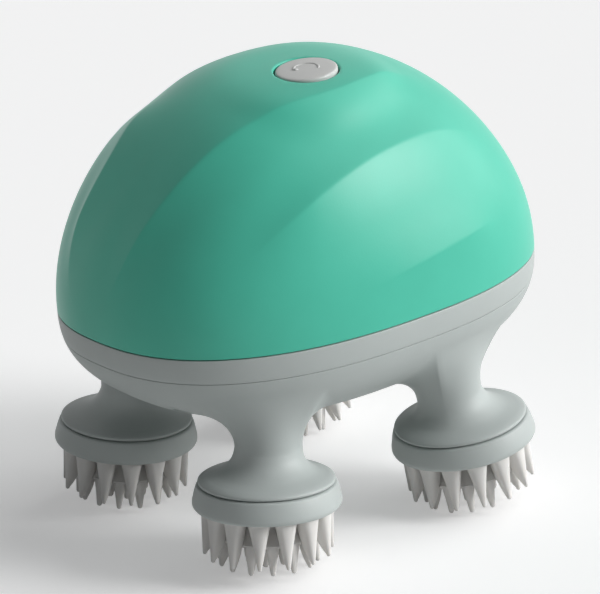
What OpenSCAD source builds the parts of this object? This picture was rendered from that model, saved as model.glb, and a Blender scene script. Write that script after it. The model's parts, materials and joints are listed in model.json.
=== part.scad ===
// Cordless scalp massager with four turning heads under a pleated cover.
// The origin is on the table under the middle of the body, X runs along the body, +X is its rear end,
// and the charging contacts face +Y.

/* [Body] */
// Length of the body
body_l = 109; // [107:0.5:116]
// Width of the body
body_w = 83; // [82:0.5:90]
// Height of the pleated cover from the seam to the crown
crown_h = 50.2; // [50:0.2:56]
// Depth of the grey bowl below the seam
bowl_d = 24.4; // [23.4:0.2:26]
// Space between the lip of a head and the lowest point of the bowl
bowl_rise = 11.9; // [11.5:0.1:13]
// Wall of the cover, the ring and the bowl
wall = 2.2; // [1.8:0.1:2.4]
// Height of the grey ring between the seam and the parting line
ring_h = 5.6; // [5:0.1:7]
// Height of the ridges where two pleats meet
pleat_d = 1.6; // [0:0.1:1.8]

/* [Button] */
// Diameter of the button cap
button_d = 13.4; // [11:0.1:14.5]
// Gap around the button cap
button_gap = 0.3; // [0.2:0.05:0.5]
// Tilt of the button towards the user
button_tilt = 2.4; // [1:0.1:4]
// Lean of the button towards the front end
button_lean = 4.4; // [3:0.1:5]
// Travel of the button
button_travel = 0.8; // [0.4:0.1:0.9]

/* [Heads] */
// Distance of the front heads from the front end of the body
front_inset = 22.3; // [21:0.1:23.5]
// Distance of the front heads from the side of the body
front_side = 15.7; // [14.5:0.1:17]
// Distance of the rear heads from the rear end of the body
rear_inset = 36.2; // [35:0.1:37.5]
// Distance of the rear heads from the side of the body
rear_side = 10.3; // [9.5:0.1:11.5]
// Outward lean of each leg
splay = 6.4; // [5:0.2:8]
// Direction of the lean, from the length of the body
splay_azimuth = 27.2; // [20:0.2:35]
// Diameter of a head at its lip
lip_d = 32; // [31:0.2:33]
// Height of the turning band above the lip
band_h = 4.4; // [3.8:0.1:5]
// Gap between the turning band and the leg
head_gap = 0.5; // [0.3:0.05:0.8]
// Number of outer prongs on a pad
outer_prongs = 14; // [12:1:15]
// Number of inner prongs on a pad
inner_prongs = 10; // [8:1:12]
// Reach of the outer prongs below the lip
outer_reach = 10.2; // [9:0.1:11]
// Reach of the inner prongs below the lip
inner_reach = 13.2; // [12:0.1:14.5]

/* [Drive] */
// Diameter of the spindle of a head
spindle_d = 4; // [3.6:0.1:4.2]
// Outside diameter of the bronze bush
bush_d = 7.9; // [7:0.1:8.2]
// Outside diameter of the shaft seal
seal_d = 10.2; // [9.6:0.1:10.8]
// Diameter of the vertical gear shafts
shaft_d = 5; // [4.4:0.1:5.4]
// Width of a gear tooth along its shaft
gear_w = 4.6; // [4:0.1:4.8]
// Height of the ball couplings below the seam
coupling_drop = 13.5; // [13:0.1:14]
// Radial running clearance of shafts in their bearings
run_gap = 0.05; // [0.03:0.01:0.08]
// Thickness of the two gearbox plates
plate_t = 2; // [1.8:0.1:2.4]
// Diameter of the motor can
motor_d = 24; // [20:0.5:25]
// Diameter of the battery cell
cell_d = 18; // [14:0.5:18.5]
// Length of the battery cell
cell_l = 49; // [40:0.5:50]

/* [Hidden] */
$fn = 48;
eps = 0.01;

// Shape exponents of the body: plan outline, cross section, crown line and bowl
plan_n = 2.4;
section_n = 2.2;
crown_a = 2.2;
crown_b = 1.7;
bowl_m = 2.53;
bowl_k = 2.15;

half_l = body_l / 2;
half_w = body_w / 2;
front_x = half_l - front_inset;
front_y = half_w - front_side;
rear_x = half_l - rear_inset;
rear_y = half_w - rear_side;
lip_r = lip_d / 2;

// Prong layout in the frame of a head, whose origin is the middle of the lip
tip_r = 0.5;
inner_tip_ring = 8.9;
lip_z = inner_reach * cos(splay) + (inner_tip_ring + tip_r) * sin(splay);
bowl_z = lip_z + bowl_rise;
seam_z = bowl_z + bowl_d;
ring_z = seam_z - ring_h;
crown_z = seam_z + crown_h;

// The four heads, in the order front left, front right, rear left, rear right
head_x = [-front_x, -front_x, rear_x, rear_x];
head_y = [-front_y, front_y, -rear_y, rear_y];
in_az = [splay_azimuth, -splay_azimuth, 180 - splay_azimuth, 180 + splay_azimuth];
coupling_z = seam_z - coupling_drop;
ball_h = (coupling_z - lip_z) / cos(splay);
gear_x = [for (k = [0:3]) head_x[k] + ball_h * sin(splay) * cos(in_az[k])];
gear_y = [for (k = [0:3]) head_y[k] + ball_h * sin(splay) * sin(in_az[k])];

// Gear train: the wheel in the middle is as far from all four outputs
sun_x = (pow(gear_x[2], 2) + pow(gear_y[2], 2) - pow(gear_x[0], 2) - pow(gear_y[0], 2))
  / (2 * (gear_x[2] - gear_x[0]));
reach = norm([gear_x[0] - sun_x, gear_y[0]]);
sun_teeth = 64;
out_teeth = 16;
sun_teeth_low = 48;
out_teeth_low = 12;
idler_teeth = 10;
tooth_m = 2 * reach / (sun_teeth + out_teeth);
gear_az = [for (k = [0:3]) atan2(gear_y[k], gear_x[k] - sun_x)];
idler_r = tooth_m * (sun_teeth_low + idler_teeth) / 2;
pressure = 25;
tooth_top = 0.75;
tooth_foot = 1.0;
backlash = 0.16;

// Levels of the gearbox, from the couplings up
cup_drop = 2.1;
cup_top = coupling_z + 3.4;
base_z = coupling_z + 4;
low_z = base_z + plate_t + 0.4;
high_z = low_z + gear_w + 0.6;
top_z = high_z + gear_w + 0.4;
deck_z = top_z + plate_t;

// Couplings
ball_r = 2.4;
cup_bore = 2.7;
cup_r = 4;
pin_r = 0.7;
pin_l = 7.2;
slot_w = 2;

// Leg, in the frame of a head
leg_low = band_h + head_gap;
flange_r = lip_r - 1.5;
seal_h = 2.3;
seal_room = 0.2;
bush_low = leg_low + seal_h + 2 * seal_room;
bush_l = ball_h - 13.8;
clip_t = 0.7;
clip_h = bush_low + bush_l + 0.3;
cavity_low = ball_h - 2.7;
cavity_r = cup_r + 0.9;

// Gearbox columns and their screws, as X and Y
column_r = 2.9;
column_reach = reach - 2.3;
screw_r = 1;
head_screw_r = 1.9;
columns = [[sun_x - column_reach, 0], [sun_x + column_reach, 0],
  [sun_x, column_reach], [sun_x, -column_reach]];
plate_r = reach - 2.4;

// Housing screws that hold the cover on the bowl, as X and Y
post_end = 11.5;
post_side = 13.5;
posts = [for (sx = [-1, 1], sy = [-1, 1]) [sx * (half_l - post_end), sy * post_side]];
post_r = 3.4;
seat_depth = 4;

// Button, in its own frame: the top of the cap is the origin and +Z leaves the body
button_x = -1.9;
button_y = -10.6;
button_z = crown_z - 1.15;
boss_low = 5.2;
seal_t = 0.8;
cap_low = boss_low + seal_t + 0.1;
cap_flange = 1;
stem_low = cap_low + cap_flange + 1.2;
switch_top = stem_low + button_travel + 0.4;
switch_h = 3.4;
board_low = switch_top + switch_h;
board_t = 1.2;
board_l = 34;
board_w = 20;
board_y = 6;
post_x = board_l / 2 - 4;
board_post = [[-post_x, board_y], [post_x, board_y]];

// Gearhead, motor and battery: the motor fills the height between the gearhead and the board
gearhead_h = 12;
flange_t = 2;
flange_d = motor_d + 9;
motor_screw_y = flange_d / 2 - 2.3;
motor_gap = 0.8;
motor_z = deck_z + gearhead_h;
board_sag = board_l / 2 * sin(button_lean) + (board_w - board_y) * sin(button_tilt);
motor_top = button_z - board_low - board_t - board_sag - motor_gap;
cell_x = sun_x + motor_d / 2 + cell_d / 2 + 3;
cell_z = deck_z + cell_d / 2 + 2;
cradle_l = 15;
cradle_w = 5;
cradle_y = 12;

// Charging contacts, set in a small flat on the ring
charge_x = 5;
charge_pitch = 6;
flat_l = 14;
flat_w = 4;
flat_in = 0.7;
contact_r = 1.5;
flat_y = half_w - flat_in;
charge_z = seam_z - ring_h / 2;

// Signed power of a number
function spow(v, e) = sign(v) * pow(abs(v), e);

// One closed outline with the plan shape of the body
function oval(a, b, z, count = 64) =
  [for (i = [0:count - 1]) let (t = 360 * i / count)
    [a * spow(cos(t), 2 / plan_n), b * spow(sin(t), 2 / plan_n), z]];

// How much the bowl has drawn in at a share of its depth
function draw_in(share) = pow(1 - pow(max(0, min(share, 1)), bowl_m), 1 / bowl_k);

// Outline of the bowl at a height, moved inwards
function bowl_ring(inset, z) =
  let (s = draw_in((seam_z - z) / (bowl_d - inset)))
  oval((half_l - inset) * s, (half_w - inset) * s, z);

// Share of the way from the middle to the outline of the plan, and the bowl's skin there
function plan_share(x, y, inset) =
  pow(pow(abs(x) / (half_l - inset), plan_n) + pow(abs(y) / (half_w - inset), plan_n), 1 / plan_n);
function bowl_floor(x, y, inset) =
  seam_z - (bowl_d - inset) * pow(1 - pow(min(plan_share(x, y, inset), 1), bowl_k), 1 / bowl_m);

// Rises smoothly from 0 to 1 between two values
function ramp(lo, hi, v) =
  let (t = max(0, min(1, (v - lo) / (hi - lo)))) t * t * (3 - 2 * t);

// Angles of the crown, the three ridges and the seam at a place along the body. The first ridge of the
// far side (side 1) lies closer to the crown and bends down to the front end.
function lines(u, side) =
  let (first = side > 0 ? 17.8 + 7 * ramp(-0.5, -0.1, u) + 729 * pow(max(0, -u - 0.6), 3)
                        : 21.2 + 3.8 * exp(-pow((u + 0.06) / 0.3, 2)),
       second = max(first + 6, min(62, 43.3 - 10 * u + 16 * u * u)),
       third = max(second + 5, min(77, 74.3 - 10.7 * u)))
  [0, first, second, third, 90];

// Height of one ridge at an angular distance from its line: hollow flanks that run out above and below
function ridge(d, above, below) =
  pow(max(0, 1 - (sqrt(d * d + 0.16) - 0.4) / (d < 0 ? above : below)), 2);

// Height of the pleats: the ridges run along the body and fade out at their ends and around the button
function pleat(u, a, near_button) =
  let (b = abs(a), side = a > 0 ? 1 : -1, line = lines(u, side),
       start = side > 0 ? 1 - ramp(-0.62, -0.4, u) : 1 - ramp(0.16, 0.46, u),
       first = 0.9 * start * ramp(-0.99, -0.85, u) * near_button * ridge(b - line[1], 18, 13),
       second = 0.8 * (1 - ramp(0.25, 0.6, u)) * ramp(-0.7, -0.35, u) * ridge(b - line[2], 11, 20),
       third = 0.4 * (1 - ramp(0.3, 0.5, u)) * ramp(-0.3, 0.05, u) * ridge(b - line[3], 14, 12),
       hollow = 0.5 * exp(-pow((u + 0.38) / 0.12, 2) - pow((a - 26) / 9, 2)))
  pleat_d * (1 - ramp(80, 90, b)) * (first + second + third - hollow);

// Slopes and radius of the flatter seat around the button
seat_rise_x = 0.04;
seat_rise_y = 0.09;
seat_round = 100;
// Angle over which the seat runs out past the first ridge
seat_run_out = 9;

// Point of the pleated cover at a share of its half length and an angle around it, with the seat blended in
function cover_point(u, a, inset) =
  let (x = (half_l - inset) * u, s = abs(u),
       w = (half_w - inset) * pow(1 - pow(s, plan_n), 1 / plan_n),
       h = (crown_h - inset) * pow(1 - pow(s, crown_a), 1 / crown_b),
       q = pow(pow(abs(sin(a)) / w, section_n) + pow(abs(cos(a)) / h, section_n), -1 / section_n),
       dx = x - button_x, dy = q * sin(a) - button_y, far = norm([dx, dy]),
       level = button_z + 0.1 - seam_z - inset,
       seat = level + seat_rise_x * dx + seat_rise_y * dy - far * far / (2 * seat_round),
       seat_share = (1 - ramp(7.5, 22, far)) * exp(-max(0, -a - lines(u, -1)[1]) / seat_run_out),
       r = q + seat_share * (seat - q * cos(a)) * cos(a) + pleat(u, a, ramp(7.6, 18, far)))
  [x, r * sin(a), seam_z + (abs(a) == 90 ? 0 : r * cos(a))];

// Closed solid through a list of outlines with as many points each
module loft(rings, loop = false) {
  k = len(rings[0]);
  m = len(rings);
  spans = loop ? m : m - 1;
  sides = [for (j = [0:spans - 1], i = [0:k - 1], half = [0, 1])
    let (a = j * k + i, b = j * k + (i + 1) % k, n = (j + 1) % m, c = n * k + (i + 1) % k, d = n * k + i)
    half == 0 ? [a, d, c] : [a, c, b]];
  caps = loop ? [] : [[for (i = [0:k - 1]) i], [for (i = [0:k - 1]) m * k - 1 - i]];
  polyhedron([for (r = rings) for (p = r) p], concat(sides, caps), convexity = 8);
}

// Angles at which one section of the cover is sampled, so that its edges follow the pleat lines
fan_steps = [5, 5, 6, 4];
function half_fan(line) =
  [for (k = [0:3], j = [1:fan_steps[k]]) line[k] + (line[k + 1] - line[k]) * j / fan_steps[k]];
function fan(u) =
  let (far = half_fan(lines(u, 1)), near = half_fan(lines(u, -1)))
  concat([for (j = [len(far) - 1:-1:0]) far[j]], [0], [for (v = near) -v]);

// Thin shell of the pleated cover, open at the seam
module cover_shell(along = 36) {
  us = [for (i = [0:along]) sin(88 * (2 * i / along - 1))];
  fans = [for (u = us) fan(u)];
  n = len(fans[0]);
  last = n - 1;
  function at(i, j) = i * n + j;
  o = (along + 1) * n;
  skin = [for (i = [0:along - 1], j = [0:last - 1], half = [0, 1])
    let (a = at(i, j), b = at(i, j + 1), c = at(i + 1, j + 1), d = at(i + 1, j))
    half == 0 ? [a, d, c] : [a, c, b]];
  lining = [for (f = skin) [o + f[0], o + f[2], o + f[1]]];
  rim = [for (i = [0:along - 1], side = [0, 1])
    let (j = side * last, a = at(i, j), d = at(i + 1, j))
    side == 0 ? [a, o + a, o + d, d] : [a, d, o + d, o + a]];
  ends = [
    [for (j = [0:last]) at(0, j)], [for (j = [0:last]) at(along, last - j)],
    [for (j = [0:last]) o + at(0, last - j)], [for (j = [0:last]) o + at(along, j)],
    [at(0, last), o + at(0, last), o + at(0, 0), at(0, 0)],
    [at(along, 0), o + at(along, 0), o + at(along, last), at(along, last)]];
  polyhedron([for (inset = [0, wall], i = [0:along]) for (a = fans[i]) cover_point(us[i], a, inset)],
    concat(skin, lining, rim, ends), convexity = 8);
}

// Plain solid inside the cover, which trims the bosses that hang from it
module cover_core() {
  steps = 18;
  turns = 28;
  loft([for (i = [0:steps]) [for (j = [0:turns])
    cover_point(sin(86 * (2 * i / steps - 1)), 90 - 180 * j / turns, wall / 2)]]);
}

// Frames of the button and of a head
module in_button_frame() {
  translate([button_x, button_y, button_z]) rotate([button_tilt, -button_lean, 0]) children();
}
module in_head_frame(k) {
  translate([head_x[k], head_y[k], lip_z]) rotate([0, splay, in_az[k]]) children();
}

// Cylinder between two heights
module rod(r, low, high) {
  translate([0, 0, low]) cylinder(h = high - low, r = r);
}
module tube(r, bore, low, high) {
  difference() {
    rod(r, low, high);
    rod(bore, low - 1, high + 1);
  }
}

module top_cover() {
  color("mediumseagreen")
  difference() {
    union() {
      cover_shell();
      intersection() {
        cover_core();
        union() {
          in_button_frame() {
            rod(button_d / 2 + 3.4, -boss_low, 1);
            for (p = board_post) translate(p) rod(2.6, -board_low, 1);
          }
          for (p = posts) translate(p) rod(post_r, seam_z + 0.3, crown_z);
        }
      }
    }
    in_button_frame() {
      rod(button_d / 2 + button_gap, -boss_low - 1, 5);
      for (p = board_post) translate(p) rod(screw_r - 0.2, -board_low - 1, 0.6 - boss_low);
    }
    for (p = posts) translate(p) rod(screw_r - 0.2, seam_z - 1, seam_z + 7);
  }
}

module power_button() {
  color("lightgray") in_button_frame() {
    rotate_extrude() polygon([[0, 0.25], [button_d / 4, 0.2], [button_d / 2 - 0.7, 0.05],
      [button_d / 2 - 0.15, -0.15], [button_d / 2, -0.5], [button_d / 2, -cap_low],
      [button_d / 2 + 2.2, -cap_low], [button_d / 2 + 2.2, -cap_low - cap_flange],
      [2.2, -cap_low - cap_flange], [2.2, -stem_low], [0, -stem_low]]);
    // Raised open ring on the cap
    difference() {
      tube(2.9, 2.3, 0.1, 0.4);
      rotate([0, 0, -37]) translate([0, -2.6, 0]) cube([2.6, 2.6, 2], center = true);
    }
  }
}

module button_seal() {
  color("dimgray") in_button_frame()
    tube(button_d / 2 + 3, button_d / 2 + button_gap + 0.3, -boss_low - seal_t, -boss_low);
}

module switch_plunger() {
  color("black") in_button_frame() rod(1.6, -switch_top - 1.2, -stem_low);
}

module switch_body() {
  color("silver") in_button_frame() difference() {
    translate([-3, -3, -board_low]) cube([6, 6, switch_h]);
    rod(1.6 + run_gap, -switch_top - 1.4 - button_travel, 1 - switch_top);
  }
}

module control_board() {
  color("darkgreen") in_button_frame() difference() {
    translate([-board_l / 2, -board_y, -board_low - board_t]) cube([board_l, board_w, board_t]);
    for (p = board_post) translate(p) rod(screw_r + 0.2, -board_low - board_t - 1, 1 - board_low);
  }
}

module board_screws() {
  color("gray") in_button_frame() for (p = board_post) translate(p) {
    rod(head_screw_r, -board_low - board_t - 1.1, -board_low - board_t);
    rod(screw_r - 0.2, -board_low - board_t, -board_low + 4);
  }
}

// Grey ring with a groove for the gasket
groove_in = 0.7;
groove_w = 0.8;
groove_d = 0.7;
module middle_ring() {
  color("lightgray") difference() {
    loft([bowl_ring(0, ring_z), bowl_ring(0, ring_z + ring_h / 2), bowl_ring(0, seam_z),
      bowl_ring(groove_in, seam_z), oval(half_l - groove_in, half_w - groove_in, seam_z - groove_d),
      oval(half_l - groove_in - groove_w, half_w - groove_in - groove_w, seam_z - groove_d),
      bowl_ring(groove_in + groove_w, seam_z), bowl_ring(wall, seam_z), bowl_ring(wall, ring_z)],
      loop = true);
    translate([charge_x - flat_l / 2, flat_y, charge_z - flat_w / 2]) cube([flat_l, 3, flat_w]);
    for (s = [-1, 1]) translate([charge_x + s * charge_pitch / 2, flat_y - 5, charge_z]) rotate([-90, 0, 0])
      cylinder(h = 6, r = contact_r + run_gap);
  }
}

module body_gasket() {
  inner = groove_in + groove_w - 0.08;
  outer = groove_in + 0.08;
  low = seam_z - groove_d;
  color("dimgray") loft([
    oval(half_l - outer, half_w - outer, low), oval(half_l - outer, half_w - outer, seam_z),
    oval(half_l - inner, half_w - inner, seam_z), oval(half_l - inner, half_w - inner, low)], loop = true);
}

module charge_contacts() {
  color("gold") for (s = [-1, 1])
    translate([charge_x + s * charge_pitch / 2, flat_y, charge_z]) rotate([90, 0, 0]) {
      cylinder(h = wall + 0.8, r = contact_r);
      translate([0, 0, wall - 0.4]) cylinder(h = 0.8, r = contact_r + 0.7);
    }
}

// Place of a point of a head's frame in the frame of the part
function out_of_head(k, p) =
  let (x = p[0] * cos(splay) + p[2] * sin(splay), z = p[2] * cos(splay) - p[0] * sin(splay))
  [head_x[k] + x * cos(in_az[k]) - p[1] * sin(in_az[k]), head_y[k] + x * sin(in_az[k]) + p[1] * cos(in_az[k]),
   lip_z + z];

// Outline of the fillet between a leg and the bowl: share 0 is the neck, share 1 lies on the bowl
function fillet_ring(k, share, count) = [for (i = [0:count - 1])
  let (t = 360 * i / count, neck = out_of_head(k, [neck_shift + neck_r * cos(t), neck_r * sin(t), neck_h]),
       under = [neck[0] + cos(in_az[k]), neck[1] + sin(in_az[k])],
       far = [gear_x[k] + flare_r * cos(t + in_az[k]), gear_y[k] + flare_r * sin(t + in_az[k])],
       end = far * min(1, 0.955 / plan_share(far[0], far[1], 0)),
       bend = [under[0], under[1], bowl_floor(under[0], under[1], 0)],
       stop = [end[0], end[1], bowl_floor(end[0], end[1], 0) + 0.8])
  pow(1 - share, 2) * neck + 2 * share * (1 - share) * bend + share * share * stop];

// One leg: a flange under a narrow neck that flares into the bowl. Its stations are height, radius and shift
neck_h = 12;
neck_r = 7.2;
neck_shift = 1.4;
flare_r = 14.5;
foot = [[0, flange_r, 0], [0.3, flange_r + 0.1, 0], [0.9, flange_r - 0.2, 0], [1.4, flange_r - 1.1, 0],
  [1.8, flange_r - 2.3, 0], [2.5, 10.4, 0.2], [3.7, 8.7, 0.6], [5.1, 7.6, 1]];
module leg_form(k) {
  count = 32;
  loft(concat(
    [for (s = foot) [for (i = [0:count - 1]) let (t = 360 * i / count)
      out_of_head(k, [s[2] + s[1] * cos(t), s[1] * sin(t), leg_low + s[0]])]],
    [for (share = [0, 0.22, 0.42, 0.6, 0.8, 1]) fillet_ring(k, share, count)],
    [[for (i = [0:count - 1]) let (t = 360 * i / count)
      out_of_head(k, [(cavity_r + 1.8) * cos(t), (cavity_r + 1.8) * sin(t), ball_h + 2])]]));
}

module lower_housing() {
  levels = [1, 0.997, 0.98, 0.945, 0.89, 0.81, 0.71, 0.6, 0.48, 0.36];
  lining = [0.36, 0.6, 0.76, 0.88, 0.96, 1];
  filling = [1, 0.98, 0.92, 0.8, 0.64, 0.45, 0.2, -0.05];
  color("silver")
  difference() {
    union() {
      loft(concat(
        [for (v = levels) bowl_ring(0, seam_z - bowl_d * v)],
        [bowl_ring(0, ring_z), bowl_ring(wall, ring_z)],
        [for (v = lining) bowl_ring(wall, seam_z - (bowl_d - wall) * v)]));
      for (k = [0:3]) leg_form(k);
      intersection() {
        loft([for (v = filling) bowl_ring(wall / 2, seam_z - (bowl_d - wall / 2) * v)]);
        union() {
          for (p = columns) translate(p) rod(column_r, bowl_z, base_z);
          for (p = posts) translate(p) rod(post_r, bowl_z, seam_z + 0.3);
        }
      }
    }
    for (k = [0:3]) in_head_frame(k) {
      rod(seal_d / 2 + 0.1, leg_low - 1, bush_low);
      rod(bush_d / 2 + 0.05, bush_low - 1, cavity_low);
      rod(cavity_r, cavity_low - eps, ball_h + 12);
    }
    for (p = columns) translate(p) rod(screw_r - 0.2, base_z - 5, base_z + 1);
    for (p = posts) translate(p) {
      rod(screw_r + 0.2, 0, seam_z + 1);
      rod(head_screw_r + 0.3, 0, bowl_floor(p[0], p[1], 0) + seat_depth);
    }
  }
}

module housing_screws() {
  color("gray") for (p = posts) translate(p) {
    seat = bowl_floor(p[0], p[1], 0) + seat_depth;
    rod(head_screw_r, seat - 1.4, seat);
    rod(screw_r - 0.2, seat, seam_z + 6);
  }
}

// Outline shared by the two gearbox plates
module plate(low) {
  translate([sun_x, 0, 0]) rod(plate_r, low, low + plate_t);
  for (k = [0:3]) translate([gear_x[k], gear_y[k], 0]) rod(shaft_d / 2 + 3, low, low + plate_t);
  for (p = columns) translate(p) rod(column_r, low, low + plate_t);
}

module shaft_holes(low) {
  for (k = [0:3]) translate([gear_x[k], gear_y[k], 0]) rod(shaft_d / 2 + run_gap, low - 1, low + plate_t + 1);
}

module gearbox_base() {
  color("ivory") difference() {
    union() {
      plate(base_z);
      for (p = columns) translate(p) rod(column_r, base_z, top_z);
      translate([sun_x, 0, 0]) rod(shaft_d / 2 + 2.5, base_z - 1.6, base_z + plate_t);
    }
    shaft_holes(base_z);
    translate([sun_x, 0, 0]) rod(shaft_d / 2 + run_gap, base_z - 0.6, base_z + plate_t + 1);
    for (p = columns) translate(p) rod(screw_r + 0.1, base_z - 1, top_z + 1);
    for (k = [1, 2]) translate([sun_x + idler_r * cos(gear_az[k]), idler_r * sin(gear_az[k]), 0])
      rod(1.25, base_z - 1, base_z + plate_t + 1);
  }
}

module gearbox_cover() {
  color("ivory") difference() {
    plate(top_z);
    shaft_holes(top_z);
    translate([sun_x, 0, 0]) {
      rod(shaft_d / 2 + 0.7, top_z - 1, deck_z + 1);
      for (s = [-1, 1]) translate([0, s * motor_screw_y, 0]) rod(screw_r - 0.2, top_z - 1, deck_z + 1);
    }
    for (p = columns) translate(p) rod(screw_r + 0.1, top_z - 1, deck_z + 1);
  }
}

module gearbox_screws() {
  color("gray") for (p = columns) translate(p) {
    rod(head_screw_r, deck_z, deck_z + 1.4);
    rod(screw_r - 0.2, base_z - 4.2, deck_z);
  }
}

module motor_gearhead() {
  color("dimgray") translate([sun_x, 0, 0]) difference() {
    union() {
      rod(flange_d / 2, deck_z, deck_z + flange_t);
      rod(motor_d / 2, deck_z, motor_z);
    }
    rod(shaft_d / 2 + run_gap, deck_z - 1, deck_z + 5);
    for (s = [-1, 1]) translate([0, s * motor_screw_y, 0])
      rod(screw_r + 0.1, deck_z - 1, deck_z + flange_t + 1);
  }
}

module drive_motor() {
  color("silver") translate([sun_x, 0, 0]) {
    rod(motor_d / 2 - 0.4, motor_z, motor_top - 1);
    rod(motor_d / 2 - 2, motor_z + 1, motor_top);
  }
}

module motor_screws() {
  color("gray") translate([sun_x, 0, 0]) for (s = [-1, 1]) translate([0, s * motor_screw_y, 0]) {
    rod(head_screw_r, deck_z + flange_t, deck_z + flange_t + 1.2);
    rod(screw_r - 0.2, top_z + 0.2, deck_z + flange_t);
  }
}

module drive_shaft() {
  color("silver") translate([sun_x, 0, 0]) rod(shaft_d / 2, base_z - 0.4, deck_z + 4.6);
}

// Involute of a circle: radius grows with the unwound angle
function inv_angle(r, rb) = let (c = min(1, rb / r)) tan(acos(c)) * 180 / PI - acos(c);

// Outline of a spur gear with a tooth on the +X axis
function gear_outline(teeth) =
  let (r = tooth_m * teeth / 2, rb = r * cos(pressure),
       ra = r + tooth_top * tooth_m, rf = r - tooth_foot * tooth_m,
       low = max(rb, rf + 0.05), half = 90 / teeth - backlash / (4 * r) * 180 / PI,
       radii = [low, (low + ra) / 2, ra],
       angles = [for (q = radii) half + inv_angle(r, rb) - inv_angle(q, rb)])
  [for (i = [0:teeth - 1]) let (t = 360 * i / teeth)
    each [
      [rf * cos(t - angles[0]), rf * sin(t - angles[0])],
      for (j = [0:2]) [radii[j] * cos(t - angles[j]), radii[j] * sin(t - angles[j])],
      for (j = [2:-1:0]) [radii[j] * cos(t + angles[j]), radii[j] * sin(t + angles[j])],
      [rf * cos(t + angles[0]), rf * sin(t + angles[0])]]];

module gear(teeth, low, turn) {
  translate([0, 0, low]) rotate([0, 0, turn]) linear_extrude(gear_w) polygon(gear_outline(teeth));
}

// Rest angle of a gear that meshes, in direction az, with a driver that has a tooth at angle lead
function mesh_turn(az, lead, driver, teeth) = az + 180 - (lead - az) * driver / teeth + 180 / teeth;

module sun_gear() {
  color("white") translate([sun_x, 0, 0]) difference() {
    union() {
      gear(sun_teeth, high_z, 0);
      gear(sun_teeth_low, low_z, 0);
      rod(shaft_d / 2 + 3, low_z, high_z + gear_w);
    }
    rod(shaft_d / 2 + eps, low_z - 1, high_z + gear_w + 1);
    for (i = [0:5]) rotate([0, 0, 60 * i + 30]) translate([reach * 0.36, 0, 0])
      rod(4.2, low_z - 1, high_z + gear_w + 1);
  }
}

idler_turn = [for (k = [0:3]) mesh_turn(gear_az[k], 0, sun_teeth_low, idler_teeth)];

// Output gear with its shaft and the slotted cup of its ball coupling
module output_gear(k) {
  direct = k == 0 || k == 3;
  teeth = direct ? out_teeth : out_teeth_low;
  low = direct ? high_z : low_z;
  turn = direct ? mesh_turn(gear_az[k], 0, sun_teeth, out_teeth)
    : mesh_turn(gear_az[k], idler_turn[k], idler_teeth, out_teeth_low);
  color("wheat") translate([gear_x[k], gear_y[k], 0]) {
    gear(teeth, low, turn);
    rod(shaft_d / 2, cup_top - 1, deck_z - 0.2);
    difference() {
      rod(cup_r, coupling_z - cup_drop, cup_top);
      rod(cup_bore, coupling_z - cup_drop - 1, coupling_z + 2.8);
      rotate([0, 0, in_az[k]]) translate([-slot_w / 2, -cup_r - 1, coupling_z - cup_drop - 1])
        cube([slot_w, 2 * cup_r + 2, cup_drop + 2.5]);
    }
  }
}

module idler_gear(k) {
  color("wheat") translate([sun_x + idler_r * cos(gear_az[k]), idler_r * sin(gear_az[k]), 0]) difference() {
    gear(idler_teeth, low_z, idler_turn[k]);
    rod(1.25 + run_gap, low_z - 1, low_z + gear_w + 1);
  }
}

module idler_pins() {
  color("silver") for (k = [1, 2])
    translate([sun_x + idler_r * cos(gear_az[k]), idler_r * sin(gear_az[k]), 0])
      rod(1.25 - eps, base_z, low_z + gear_w + 0.3);
}

module battery_cell() {
  color("steelblue") translate([cell_x, 0, cell_z]) rotate([90, 0, 0]) {
    cylinder(h = cell_l, r = cell_d / 2, center = true);
    translate([0, 0, cell_l / 2 - eps]) cylinder(h = 1, r = 3);
  }
}

module battery_cradle() {
  color("dimgray") difference() {
    for (s = [-1, 1]) translate([cell_x - cradle_l / 2, s * cradle_y - cradle_w / 2, deck_z])
      cube([cradle_l, cradle_w, cell_z - deck_z - 4.5]);
    translate([cell_x, 0, cell_z]) rotate([90, 0, 0])
      cylinder(h = cell_l, r = cell_d / 2 + run_gap, center = true);
  }
}

// Round wire through a list of points
module wire(path, r = 0.7) {
  last = len(path) - 1;
  function along(i) = path[min(i + 1, last)] - path[max(i - 1, 0)];
  loft([for (i = [0:last]) let (t = along(i) / norm(along(i)), side = cross(t, [1, 0.2, 0]),
      u = side / norm(side), v = cross(t, u))
    [for (j = [0:7]) path[i] + r * (cos(45 * j) * u + sin(45 * j) * v)]]);
}

module wire_leads() {
  inner_y = flat_y - wall - 0.8;
  under = button_z - board_low - board_t - 1.5;
  pole_y = cell_l / 2 + 1 - eps;
  color("firebrick") {
    wire([[cell_x, pole_y, cell_z], [cell_x, pole_y + 1, cell_z], [cell_x - 1, pole_y + 2.2, cell_z + 2],
      [cell_x - 5, pole_y + 1, cell_z + 10], [cell_x - 12, pole_y - 5, cell_z + 16],
      [cell_x - 16, pole_y - 13, under + 0.5], [cell_x - 17, pole_y - 18, under + 3.4]]);
    for (s = [-1, 1]) translate([charge_x + s * charge_pitch / 2, inner_y, 0])
      wire([[0, 0, charge_z], [0, -1.2, charge_z], [0, -2, charge_z + 3], [0, -2.7, seam_z + 10],
        [0, -5, seam_z + 19], [0, -10, seam_z + 28], [0, -18, under + 1], [0, -27, under + 3.8]]);
  }
}

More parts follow.
